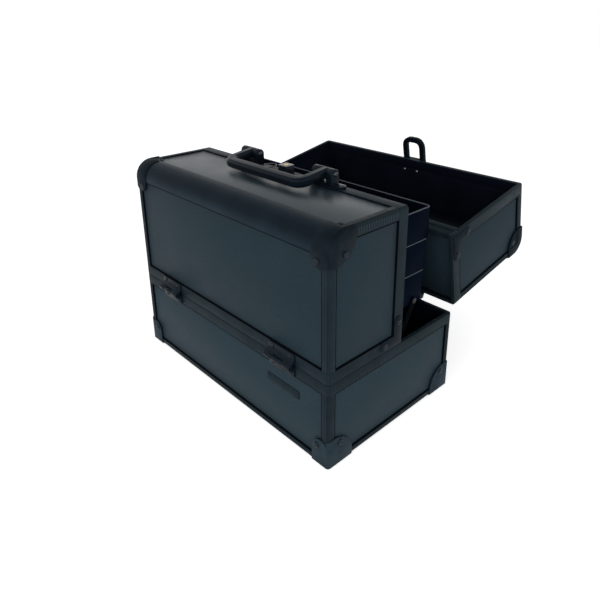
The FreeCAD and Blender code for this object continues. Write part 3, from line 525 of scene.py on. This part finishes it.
def islands(node):
    """Corner places of each separate solid of a CAD node, in order along the case."""
    builder = bmesh.new()
    builder.from_mesh(frame["nodes"][node].data)
    bmesh.ops.remove_doubles(builder, verts=builder.verts, dist=WELD_REACH)
    waiting = set(builder.verts)
    groups = []
    while waiting:
        group = [waiting.pop()]
        for vertex in group:
            for edge in vertex.link_edges:
                other = edge.other_vert(vertex)
                if other in waiting:
                    waiting.remove(other)
                    group.append(other)
        groups.append([vertex.co.copy() for vertex in group])
    builder.free()
    groups.sort(key=lambda places: tuple(round(c, 6) for c in centre_of(places)))
    return groups


def corners_of(node):
    """Corner places of all solids of a CAD node."""
    return [place for places in islands(node) for place in places]


def inner_middle(body):
    """Middle of the room that a body's lining boards stand round."""
    low, high = box_of(corners_of(body + "_lining"))
    return (low + high) / 2


def joint_named(name):
    """A joint of the frame."""
    return next(joint for joint in frame["joints"] if joint["name"] == name)


def open_angle(body):
    """Angle by which a body stands open at rest: the rear lid's hinge shuts it at its maximum."""
    if body != "rear_lid":
        return 0.0
    return math.radians(joint_named("rear_lid_hinge")["range_deg"][1])


def opening_turn(body):
    """From the shut place of a body to where it stands at rest."""
    hinge = joint_named("rear_lid_hinge")
    place = Vector(hinge["pos_m"])
    turn = Matrix.Rotation(-open_angle(body), 4, Vector(hinge["axis"]))
    return Matrix.Translation(place) @ turn @ Matrix.Translation(-place)


def bridge(builder, ring, following):
    """Faces between a ring of corners and the next ring, which may be one corner."""
    faces = []
    for step in range(len(ring)):
        after = (step + 1) % len(ring)
        corners = (ring[step], ring[after],
                   following[after % len(following)], following[step % len(following)])
        faces.append(builder.faces.new(list(dict.fromkeys(corners))))
    return faces


def lathe(builder, place, axis, profile):
    """Turned form about an axis at a place: (radius, height) from the rim to the middle."""
    turn = axis.to_track_quat("Z", "Y").to_matrix()
    rings = []
    for radius, height in profile:
        if radius == 0:
            rings.append([builder.verts.new(place + axis * height)])
            continue
        ring = []
        for step in range(TURNED_SEGMENTS):
            angle = 2 * math.pi * step / TURNED_SEGMENTS
            spoke = Vector((radius * math.cos(angle), radius * math.sin(angle), height))
            ring.append(builder.verts.new(place + turn @ spoke))
        rings.append(ring)
    faces = []
    for ring, following in zip(rings, rings[1:]):
        faces += bridge(builder, ring, following)
    faces.append(builder.faces.new(list(reversed(rings[0]))))
    return faces


def rivet_profile(radius, height):
    """Domed head with a rolled rim and a shallow dimple."""
    return [(radius * out, height * up) for out, up in RIVET_HEAD]


class TRAINCASE_OT_panels(bpy.types.Operator):
    """Give the panels their pebbled facing"""

    bl_idname = "traincase.panels"
    bl_label = "Panels"

    def execute(self, context):
        finishes = context.scene.case_finishes
        details = context.scene.case_details
        nodes = [node for node in frame["nodes"] if node.endswith(("panel", "panels"))]
        tops = [node for node in nodes if node.endswith("top_panel")]
        base = [node for node in nodes if node.startswith("base")]
        lids = [node for node in nodes if node not in tops + base]
        matt = {"sheen": 0.52, "specular": 0.05, "relief": 0.5}
        satin = {"sheen": 0.36, "specular": 0.4, "relief": 0.7}
        # The base takes a lighter copy of the facing as painted light.
        for name, group, colour, look in (
                ("lid_facing", lids, finishes.facing_colour, matt),
                ("base_lit_facing", base, finishes.base_lit_colour, matt),
                ("top_facing", tops, finishes.facing_colour, satin)):
            dress(group, facing_finish(name, colour, details, **look), details.sheet_round)
        return {"FINISHED"}


class TRAINCASE_OT_frames(bpy.types.Operator):
    """Give the rails, posts and edges their anodised finish"""

    bl_idname = "traincase.frames"
    bl_label = "Frames"

    KINDS = {
        "hatched": ("bottom_rail", "top_rail"),
        "fluted": ("corner_posts", "edge_frames"),
        "smooth": ("split_rail", "floor_rail"),
        "crown": ("crown_edge",),
    }

    def execute(self, context):
        finishes = context.scene.case_finishes
        details = context.scene.case_details
        for body in SHELLS:
            middle, turn = inner_middle(body), open_angle(body)
            for kind, ends in self.KINDS.items():
                nodes = [f"{body}_{end}" for end in ends if f"{body}_{end}" in frame["nodes"]]
                crown = kind == "crown"
                # Inner faces take the lining's colour as painted shade; crowns take a darker colour
                # with painted light and shade.
                material = frame_finish(
                    f"{body}_anodised_{kind}",
                    finishes.crown_shaded_colour if crown else finishes.frame_colour,
                    finishes.lining_and_inner_shade_colour, details, middle, turn, kind,
                    sheen=0.3 if crown else 0.36, specular=0.03 if crown else 0.022)
                dress(nodes, material, 0 if crown else details.frame_round)
        return {"FINISHED"}


class TRAINCASE_OT_ribs(bpy.types.Operator):
    """Stand fine ribs on the top rails of the lids' ends"""

    bl_idname = "traincase.ribs"
    bl_label = "Rail ribs"

    def execute(self, context):
        details = context.scene.case_details
        colour = context.scene.case_finishes.rib_colour
        material = lacquer_finish("rib_anodised", colour, sheen=0.36, specular=0.02)
        for lid in LIDS:
            builder = bmesh.new()
            self.stand(builder, lid, details)
            new_piece(lid + "_end_rail_ribs", builder, material, lid)
        return {"FINISHED"}

    def stand(self, builder, lid, details):
        """Ribs from the corner protector to the split rail, above the end's lining board."""
        turn = opening_turn(lid)
        shut = turn.inverted()
        frame_high = box_of([shut @ place for place in corners_of(lid + "_edge_frames")])[1]
        for places in islands(lid + "_lining"):
            low, high = box_of([shut @ place for place in places])
            if high.x - low.x > high.y - low.y:
                continue
            side = 1 if low.x > 0 else -1
            heights = (high.z + RIB_FOOT_MARGIN, frame_high.z - RIB_TOP_MARGIN)
            start, end = low.y, high.y
            if lid == "front_lid":
                start += PROTECTOR_REACH
            else:
                end -= PROTECTOR_REACH
            count = int((end - start) / details.rib_pitch)
            for step in range(count):
                y = start + (step + 0.5) * (end - start) / count
                self.add_rib(builder, turn, side, frame_high.x, y, heights, details)

    def add_rib(self, builder, turn, side, face_x, y, heights, details):
        """One bar with sloping sides, its foot sunk a little into the rail."""
        bottom, top = heights
        slope = details.rib_height
        rows = []
        for out, share, draw in ((-RIB_SINK, RIB_FOOT_SHARE, 0.0), (slope, RIB_CREST_SHARE, slope)):
            low, high, wide = bottom + draw, top - draw, share * details.rib_pitch
            x = side * (face_x + out)
            rows.append([
                builder.verts.new(turn @ Vector((x, y + across, z)))
                for across, z in ((-wide, low), (wide, low), (wide, high), (-wide, high))])
        faces = [builder.faces.new(row) for row in rows]
        faces += bridge(builder, *rows)
        bmesh.ops.recalc_face_normals(builder, faces=faces)


class TRAINCASE_OT_linings(bpy.types.Operator):
    """Give the lining boards their matt finish"""

    bl_idname = "traincase.linings"
    bl_label = "Linings"

    def execute(self, context):
        material = lining_finish("lining_board", context.scene.case_finishes.lining_and_inner_shade_colour)
        dress([node for node in frame["nodes"] if node.endswith("lining")], material, 0)
        return {"FINISHED"}


class TRAINCASE_OT_groove_shade_beads(bpy.types.Operator):
    """Lay a dark bead in the groove round each outside panel, as painted shade in the groove"""

    bl_idname = "traincase.seals"
    bl_label = "Panel seals"

    def execute(self, context):
        width = context.scene.case_details.groove_shade_width
        colour = context.scene.case_finishes.groove_shade_and_arm_colour
        # Painted shade: the dark bead stands in for the shade in each panel's groove.
        material = moulded_finish(
            "groove_shade_bead_finish", colour, sheen=0.7, grain=2 * MILLIMETRE, specular=0.02)
        for body in SHELLS:
            builder = bmesh.new()
            self.lay(builder, body, width)
            new_piece(body + "_panel_shade_beads", builder, material, body)
        return {"FINISHED"}

    def lay(self, builder, body, width):
        """A bead on the outside of each upright window, whose outline the lining boards have."""
        turn = opening_turn(body)
        shut = turn.inverted()
        rear = body == "rear_lid"
        wall = islands(body + ("_rear_panel" if rear else "_front_panel"))[0]
        wall_low, wall_high = box_of([shut @ place for place in wall])
        wall_face = abs(wall_high.y if rear else wall_low.y)
        right_end = islands(body + "_end_panels")[1]
        end_face = box_of([shut @ place for place in right_end])[1].x
        radius = WINDOW_RADIUS if body in LIDS else 0
        for places in islands(body + "_lining"):
            low, high = box_of([shut @ place for place in places])
            size = high - low
            thin = "xyz"[min(range(3), key=lambda axis: size[axis])]
            if thin == "y":
                outward = -1 if low.y < 0 else 1
                self.add_bead(
                    builder, (low.x, low.z, high.x, high.z), (0, 0, 0, 0), width,
                    lambda u, v, height: turn @ Vector((u, outward * (wall_face + height), v)))
            elif thin == "x":
                outward = -1 if low.x < 0 else 1
                self.add_bead(
                    builder, (low.y, low.z, high.y, high.z),
                    (0, 0, radius, 0) if rear else (0, 0, 0, radius), width,
                    lambda u, v, height: turn @ Vector((outward * (end_face + height), u, v)))
        bmesh.ops.recalc_face_normals(builder, faces=builder.faces)

    def add_bead(self, builder, box, radii, width, to_row):
        """Bead with a hollow face round a window; to_row places (u, v, height)."""
        rings = []
        for inset, height in SHADE_BEAD_SECTION:
            outline = self.window_outline(box, radii, inset * width)
            rings.append([builder.verts.new(to_row(u, v, height * width)) for u, v in outline])
        for ring, following in zip(rings, rings[1:] + rings[:1]):
            bridge(builder, ring, following)

    def window_outline(self, box, radii, inset):
        """Points round a rectangle shrunk by an inset; radii of its corners start at low, low."""
        low_u, low_v, high_u, high_v = box
        corners = ((low_u, low_v, 1, 1, 180), (high_u, low_v, -1, 1, 270),
                   (high_u, high_v, -1, -1, 0), (low_u, high_v, 1, -1, 90))
        points = []
        for (u, v, inward_u, inward_v, start), radius in zip(corners, radii):
            if radius == 0:
                points.append((u + inward_u * inset, v + inward_v * inset))
                continue
            for step in range(ARC_STEPS + 1):
                angle = math.radians(start + 90 * step / ARC_STEPS)
                points.append((
                    u + inward_u * radius + (radius - inset) * math.cos(angle),
                    v + inward_v * radius + (radius - inset) * math.sin(angle)))
        return points


class TRAINCASE_OT_corners(bpy.types.Operator):
    """Give the corner protectors and corner plates their lacquer"""

    bl_idname = "traincase.corners"
    bl_label = "Corner protectors and plates"

    def execute(self, context):
        details = context.scene.case_details
        finishes = context.scene.case_finishes
        for body in SHELLS:
            colour = finishes.lacquer_colour if body == "base" else finishes.shade_colour
            material = lacquer_finish(body + "_corner_lacquer", colour)
            names = (body + "_corner_protectors", body + "_corner_plates")
            dress([node for node in names if node in frame["nodes"]], material, details.sheet_round)
        return {"FINISHED"}


class TRAINCASE_OT_rivets(bpy.types.Operator):
    """Turn a domed head for each rivet of the base and lids"""

    bl_idname = "traincase.rivets"
    bl_label = "Rivets"

    def execute(self, context):
        finishes = context.scene.case_finishes
        dark = lacquer_finish("rivet_lacquer", finishes.shade_colour, sheen=0.26, specular=0.1)
        bright = plated_finish("rivet_steel", finishes.rivet_colour, sheen=0.24)
        for body in SHELLS:
            middle = inner_middle(body)
            builder = bmesh.new()
            for places in islands(body + "_rivets"):
                foot, top, radius = self.head_ends(places)
                out = top - foot
                inward = abs(foot.x) < HASP_REACH and out.dot(middle - foot) > 0
                head = lathe(builder, foot, out.normalized(), rivet_profile(radius, out.length))
                for face in head:
                    face.material_index = int(inward)
            heads = new_piece(body + "_rivet_heads", builder, dark, body)
            heads.data.materials.append(bright)
            soften(heads, 0)
            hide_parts(body + "_rivets")
        return {"FINISHED"}

    def head_ends(self, places):
        """Foot, top and radius of a CAD head: a wide ring of corners and a narrow one on top."""
        middle = centre_of(places)
        by_reach = sorted(places, key=lambda place: (place - middle).length)
        half = len(places) // 2
        foot = centre_of(by_reach[half:])
        return foot, centre_of(by_reach[:half]), (by_reach[-1] - foot).length


class TRAINCASE_OT_hinges(bpy.types.Operator):
    """Give the hinges and their pins a lacquer finish"""

    bl_idname = "traincase.hinges"
    bl_label = "Hinges"

    def execute(self, context):
        colour = context.scene.case_finishes.shade_colour
        material = lacquer_finish("hinge_lacquer", colour, sheen=0.3, specular=0.05)
        leaves = ["lower_hinge_leaves", "front_hinge_upper_leaves", "rear_hinge_upper_leaves"]
        dress(leaves + ["hinge_pins"], material, HINGE_ROUND)
        return {"FINISHED"}


class TRAINCASE_OT_handle(bpy.types.Operator):
    """Finish the handle and its brackets and add their screws"""

    bl_idname = "traincase.handle"
    bl_label = "Handle"

    def execute(self, context):
        finishes = context.scene.case_finishes
        moulding = moulded_finish(
            "handle_moulding", finishes.handle_colour, sheen=0.22, grain=1.2 * MILLIMETRE,
            specular=0.10)
        dress(["handle"], moulding, GRIP_ROUND, MOULDED_SEGMENTS, merge_flats=True)
        dress(["handle_brackets"], moulding, BRACKET_ROUND, MOULDED_SEGMENTS)
        steel = lacquer_finish("screw_lacquer", finishes.shade_colour, sheen=0.25, specular=0.5)
        builder = bmesh.new()
        for places in islands("handle_brackets"):
            self.add_screws(builder, *box_of(places))
        screws = new_piece("handle_bracket_screws", builder, steel, "front_lid")
        soften(screws, 0)
        return {"FINISHED"}

    def add_screws(self, builder, low, high):
        """A screw on a bracket's foot and a pin head on each side of its fork."""
        pivot = Vector(joint_named("handle_pivot")["pos_m"])
        outward = 1 if high.x > pivot.x else -1
        inner, outer = (low.x, high.x) if outward > 0 else (high.x, low.x)
        foot_x = outer - outward * (high.y - low.y) / 2
        fork_x = outer - outward * BRACKET_FOOT_LENGTH
        profile = [(radius * MILLIMETRE, height * MILLIMETRE) for radius, height in SCREW_HEAD]
        side, up = Vector((outward, 0, 0)), Vector((0, 0, 1))
        lathe(builder, Vector((foot_x, pivot.y, low.z + BRACKET_FOOT_HEIGHT)), up, profile)
        lathe(builder, Vector((fork_x, pivot.y, pivot.z)), side, profile)
        lathe(builder, Vector((inner, pivot.y, pivot.z)), -side, profile)


class TRAINCASE_OT_lock(bpy.types.Operator):
    """Finish the lock's body, plate and cylinder"""

    bl_idname = "traincase.lock"
    bl_label = "Lock"

    def execute(self, context):
        finishes = context.scene.case_finishes
        body = lacquer_finish("lock_lacquer", finishes.shade_colour, sheen=0.25, specular=0.1)
        dress(["lock_body"], body, LOCK_ROUND)
        plate = plated_finish("lock_plating", finishes.plating_colour, sheen=0.26)
        dress(["lock_plate"], plate, PLATE_ROUND)
        brass = plated_finish("lock_brass", finishes.brass_colour, sheen=0.28)
        dress(["lock_cylinder"], brass, KEY_ROUND)
        return {"FINISHED"}


class TRAINCASE_OT_keys(bpy.types.Operator):
    """Cut two keys and wind the ring that holds them"""

    bl_idname = "traincase.keys"
    bl_label = "Keys"

    def execute(self, context):
        steel = plated_finish("key_steel", context.scene.case_finishes.key_colour, sheen=0.27)
        builder = bmesh.new()
        *flat_keys, ring = sorted(islands("keys"), key=lambda places: centre_of(places).z)
        for places in flat_keys:
            self.cut_key(builder, places)
        self.wind_ring(builder, ring)
        keys = new_piece("keys_on_ring", builder, steel, "front_lid")
        soften(keys, KEY_ROUND, segments=1)
        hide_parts("keys")
        return {"FINISHED"}

    def key_outline(self):
        """Millimetres along and across the blade: round the bow and then round the blade."""
        sweep = 360 - 2 * KEY_BOW_OPENING
        bow = []
        for step in range(KEY_BOW_STEPS):
            angle = math.radians(KEY_BOW_OPENING + sweep * step / (KEY_BOW_STEPS - 1))
            bow.append((KEY_BOW_RADIUS * math.cos(angle), KEY_BOW_RADIUS * math.sin(angle)))
        return bow + KEY_BLADE

    def cut_key(self, builder, places):
        """Flat key along its CAD solid: round bow, shoulder and toothed blade."""
        low, high = box_of(places)
        middle = centre_of(places)
        tip = max(places, key=lambda place: (place - middle).length)
        blade_end = centre_of([place for place in places if (place - tip).length < KEY_END_REACH])
        bow_end = max(places, key=lambda place: (place - blade_end).xy.length)
        along = (blade_end - bow_end).xy.normalized() * MILLIMETRE
        across = Vector((-along.y, along.x))
        bow = bow_end.xy + along * KEY_BOW_RADIUS
        outline = [bow + along * u + across * v for u, v in self.key_outline()]
        under, over = (
            [builder.verts.new((place.x, place.y, z)) for place in outline]
            for z in (low.z, high.z))
        builder.faces.new(list(reversed(under)))
        builder.faces.new(over)
        bridge(builder, under, over)

    def wind_ring(self, builder, places):
        """Round wire ring in the place of its CAD solid."""
        low, high = box_of(places)
        middle = (low + high) / 2
        wire = (high.z - low.z) / 2
        reach = (high.x - low.x) / 2 - wire
        rings = []
        for step in range(RING_STEPS):
            turn = 2 * math.pi * step / RING_STEPS
            ring = []
            for part in range(WIRE_STEPS):
                angle = 2 * math.pi * part / WIRE_STEPS
                out, lift = reach + wire * math.cos(angle), wire * math.sin(angle)
                offset = Vector((out * math.cos(turn), out * math.sin(turn), lift))
                ring.append(builder.verts.new(middle + offset))
            rings.append(ring)
        for ring, following in zip(rings, rings[1:] + rings[:1]):
            bridge(builder, following, ring)


class TRAINCASE_OT_hasp(bpy.types.Operator):
    """Finish the hasp's plate and loop"""

    bl_idname = "traincase.hasp"
    bl_label = "Hasp"

    def execute(self, context):
        colour = context.scene.case_finishes.handle_colour
        material = lacquer_finish("hasp_lacquer", colour, sheen=0.3)
        dress(["hasp_plate"], material, HINGE_ROUND)
        dress(["hasp_loop"], material, LOOP_ROUND, MOULDED_SEGMENTS)
        return {"FINISHED"}


class TRAINCASE_OT_trays(bpy.types.Operator):
    """Finish the trays and turn their pivot rivets"""

    bl_idname = "traincase.trays"
    bl_label = "Trays"

    def execute(self, context):
        finishes = context.scene.case_finishes
        dark = lacquer_finish("pivot_lacquer", finishes.groove_shade_and_arm_colour, sheen=0.4, specular=0.004)
        steel = plated_finish("pivot_steel", finishes.pivot_colour, sheen=0.26)
        for tray in TRAYS:
            top = box_of(corners_of(tray))[1].z
            # Each tray gets a painted highlight along its top rim.
            moulding = moulded_finish(
                tray + "_moulding", finishes.tray_colour, sheen=0.25, grain=1.5 * MILLIMETRE,
                specular=0.002, rim=(top - RIM_DEPTH, finishes.rim_highlight_colour))
            dress([tray], moulding, TRAY_ROUND)
            builder = bmesh.new()
            for places in islands(tray + "_rivets"):
                self.turn_rivet(builder, *box_of(places))
            metal = steel if tray == "lower_tray" else dark
            rivets = new_piece(tray + "_pivot_rivets", builder, metal, tray)
            soften(rivets, 0)
            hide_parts(tray + "_rivets")
        return {"FINISHED"}

    def turn_rivet(self, builder, low, high):
        """Shank and domed head in the place of the CAD rivet."""
        outward = 1 if low.x > 0 else -1
        start = low.x if outward > 0 else high.x
        place = Vector((start, (low.y + high.y) / 2, (low.z + high.z) / 2))
        head_radius = (high.y - low.y) / 2
        shank = high.x - low.x - PIVOT_HEAD_HEIGHT
        profile = [(PIVOT_SHANK_RADIUS, 0), (PIVOT_SHANK_RADIUS, shank)]
        for radius, height in rivet_profile(head_radius, PIVOT_HEAD_HEIGHT):
            profile.append((radius, shank + height))
        lathe(builder, place, Vector((outward, 0, 0)), profile)


class TRAINCASE_OT_arms(bpy.types.Operator):
    """Finish the swing arms, fan arms and their studs"""

    bl_idname = "traincase.arms"
    bl_label = "Tray arms"

    def execute(self, context):
        colour = context.scene.case_finishes.groove_shade_and_arm_colour
        material = lacquer_finish("arm_lacquer", colour, sheen=0.5, specular=0.004)
        nodes = [node for node in frame["nodes"] if node.endswith("_arms")]
        dress(nodes + ["tray_arm_studs"], material, PLATE_ROUND)
        return {"FINISHED"}


class TRAINCASE_OT_name_plate(bpy.types.Operator):
    """Finish the bare plate on the front"""

    bl_idname = "traincase.name_plate"
    bl_label = "Bare plate"

    def execute(self, context):
        colour = context.scene.case_finishes.frame_colour
        material = lacquer_finish("plate_gloss", colour, sheen=0.3, specular=0.015)
        dress(["name_plate"], material, PLATE_ROUND)
        return {"FINISHED"}


class TRAINCASE_OT_stage(bpy.types.Operator):
    """Set the camera, the lights, the room and the floor"""

    bl_idname = "traincase.stage"
    bl_label = "Stage"

    def execute(self, context):
        setup = context.scene.case_stage
        context.scene.view_settings.view_transform = "Standard"
        self.add_camera(context, setup)
        self.add_light(context, "key_light", FRONT_LIGHT_PLACE, FRONT_LIGHT_SIZE, setup.key_power)
        self.add_light(context, "fill_light", END_LIGHT_PLACE, END_LIGHT_SIZE, setup.fill_power)
        self.light_room(context, setup)
        self.lay_floor(context, setup)
        return {"FINISHED"}

    def add_camera(self, context, setup):
        """Camera square to its right and up directions, with its picture shifted."""
        right = Vector(setup.camera_right).normalized()
        up = Vector(setup.camera_up)
        up = (up - right * up.dot(right)).normalized()
        turn = Matrix((right, up, right.cross(up))).transposed().to_quaternion()
        data = bpy.data.cameras.new("camera")
        data.lens = setup.lens
        data.sensor_width = SENSOR_WIDTH
        data.shift_x, data.shift_y = setup.picture_shift
        data.clip_start = NEAREST_VIEW
        camera = bpy.data.objects.new("camera", data)
        context.scene.collection.objects.link(camera)
        camera.matrix_world = Matrix.LocRotScale(Vector(setup.camera_place), turn, None)
        context.scene.camera = camera

    def add_light(self, context, name, place, size, power):
        """Soft rectangular light aimed at the case."""
        data = bpy.data.lights.new(name, "AREA")
        data.shape = "RECTANGLE"
        data.size, data.size_y = size
        data.energy = power
        light = bpy.data.objects.new(name, data)
        light.location = place
        light.rotation_euler = (LIGHT_AIM - Vector(place)).to_track_quat("-Z", "Y").to_euler()
        context.scene.collection.objects.link(light)

    def background_rays(self, tree):
        """1 for rays that show the background: from the camera, in gloss or through glass."""
        path = tree.nodes.new("ShaderNodeLightPath")
        shown = path.outputs["Is Camera Ray"]
        for kind in ("Is Glossy Ray", "Is Transmission Ray"):
            either = tree.nodes.new("ShaderNodeMath")
            either.operation = "MAXIMUM"
            tree.links.new(shown, either.inputs[0])
            tree.links.new(path.outputs[kind], either.inputs[1])
            shown = either.outputs["Value"]
        return shown

    def light_room(self, context, setup):
        """White room that lights the case at the room's strength."""
        world = bpy.data.worlds.new("studio_room")
        context.scene.world = world
        world.use_nodes = True
        tree = world.node_tree
        strength = tree.nodes.new("ShaderNodeMapRange")
        strength.inputs["To Min"].default_value = setup.room_strength
        strength.inputs["To Max"].default_value = 1.0
        tree.links.new(self.background_rays(tree), strength.inputs["Value"])
        background = tree.nodes["Background"]
        background.inputs["Color"].default_value = WHITE
        tree.links.new(strength.outputs["Result"], background.inputs["Strength"])

    def lay_floor(self, context, setup):
        """Pale matt floor that looks white and keeps the case's shadow."""
        builder = bmesh.new()
        bmesh.ops.create_grid(builder, x_segments=1, y_segments=1, size=FLOOR_REACH)
        mesh = bpy.data.meshes.new("floor")
        builder.to_mesh(mesh)
        builder.free()
        floor = bpy.data.objects.new("floor", mesh)
        context.scene.collection.objects.link(floor)
        material = bpy.data.materials.new("floor_paper")
        material.use_nodes = True
        tree = material.node_tree
        shader = tree.nodes["Principled BSDF"]
        shader.inputs["Base Color"].default_value = setup.floor_colour
        shader.inputs["Roughness"].default_value = 0.9
        shader.inputs["Specular IOR Level"].default_value = 0.0
        shader.inputs["Emission Color"].default_value = WHITE
        glow = tree.nodes.new("ShaderNodeMath")
        glow.operation = "MULTIPLY"
        glow.inputs[1].default_value = FLOOR_GLOW
        tree.links.new(self.background_rays(tree), glow.inputs[0])
        tree.links.new(glow.outputs["Value"], shader.inputs["Emission Strength"])
        mesh.materials.append(material)


class TRAINCASE_PT_looks(bpy.types.Panel):
    """Sizes and colours of the looks, and the steps that dress the case in order"""

    bl_idname = "TRAINCASE_PT_looks"
    bl_label = "Makeup train case"
    bl_space_type = "VIEW_3D"
    bl_region_type = "UI"
    bl_category = "Train Case"

    def draw(self, context):
        for name, group in GROUPS.items():
            box = self.layout.box()
            for each in group.__annotations__:
                box.prop(getattr(context.scene, name), each)
        for operator in OPERATORS:
            self.layout.operator(operator.bl_idname)


GROUPS = {"case_finishes": CaseFinishes, "case_details": CaseDetails, "case_stage": CaseStage}
OPERATORS = (
    TRAINCASE_OT_stage, TRAINCASE_OT_panels, TRAINCASE_OT_frames, TRAINCASE_OT_ribs,
    TRAINCASE_OT_linings, TRAINCASE_OT_groove_shade_beads, TRAINCASE_OT_corners, TRAINCASE_OT_rivets,
    TRAINCASE_OT_hinges, TRAINCASE_OT_handle, TRAINCASE_OT_lock, TRAINCASE_OT_keys,
    TRAINCASE_OT_hasp, TRAINCASE_OT_trays, TRAINCASE_OT_arms, TRAINCASE_OT_name_plate)


def register():
    """Add the groups, the steps and the panel."""
    for name, group in GROUPS.items():
        bpy.utils.register_class(group)
        setattr(bpy.types.Scene, name, bpy.props.PointerProperty(type=group))
    for operator in OPERATORS:
        bpy.utils.register_class(operator)
    bpy.utils.register_class(TRAINCASE_PT_looks)


def unregister():
    """Take them away again."""
    bpy.utils.unregister_class(TRAINCASE_PT_looks)
    for operator in reversed(OPERATORS):
        bpy.utils.unregister_class(operator)
    for name, group in GROUPS.items():
        delattr(bpy.types.Scene, name)
        bpy.utils.unregister_class(group)


def main():
    """Run the steps in order."""
    register()
    for operator in OPERATORS:
        family, name = operator.bl_idname.split(".")
        getattr(getattr(bpy.ops, family), name)()


if __name__ == "__main__":
    main()
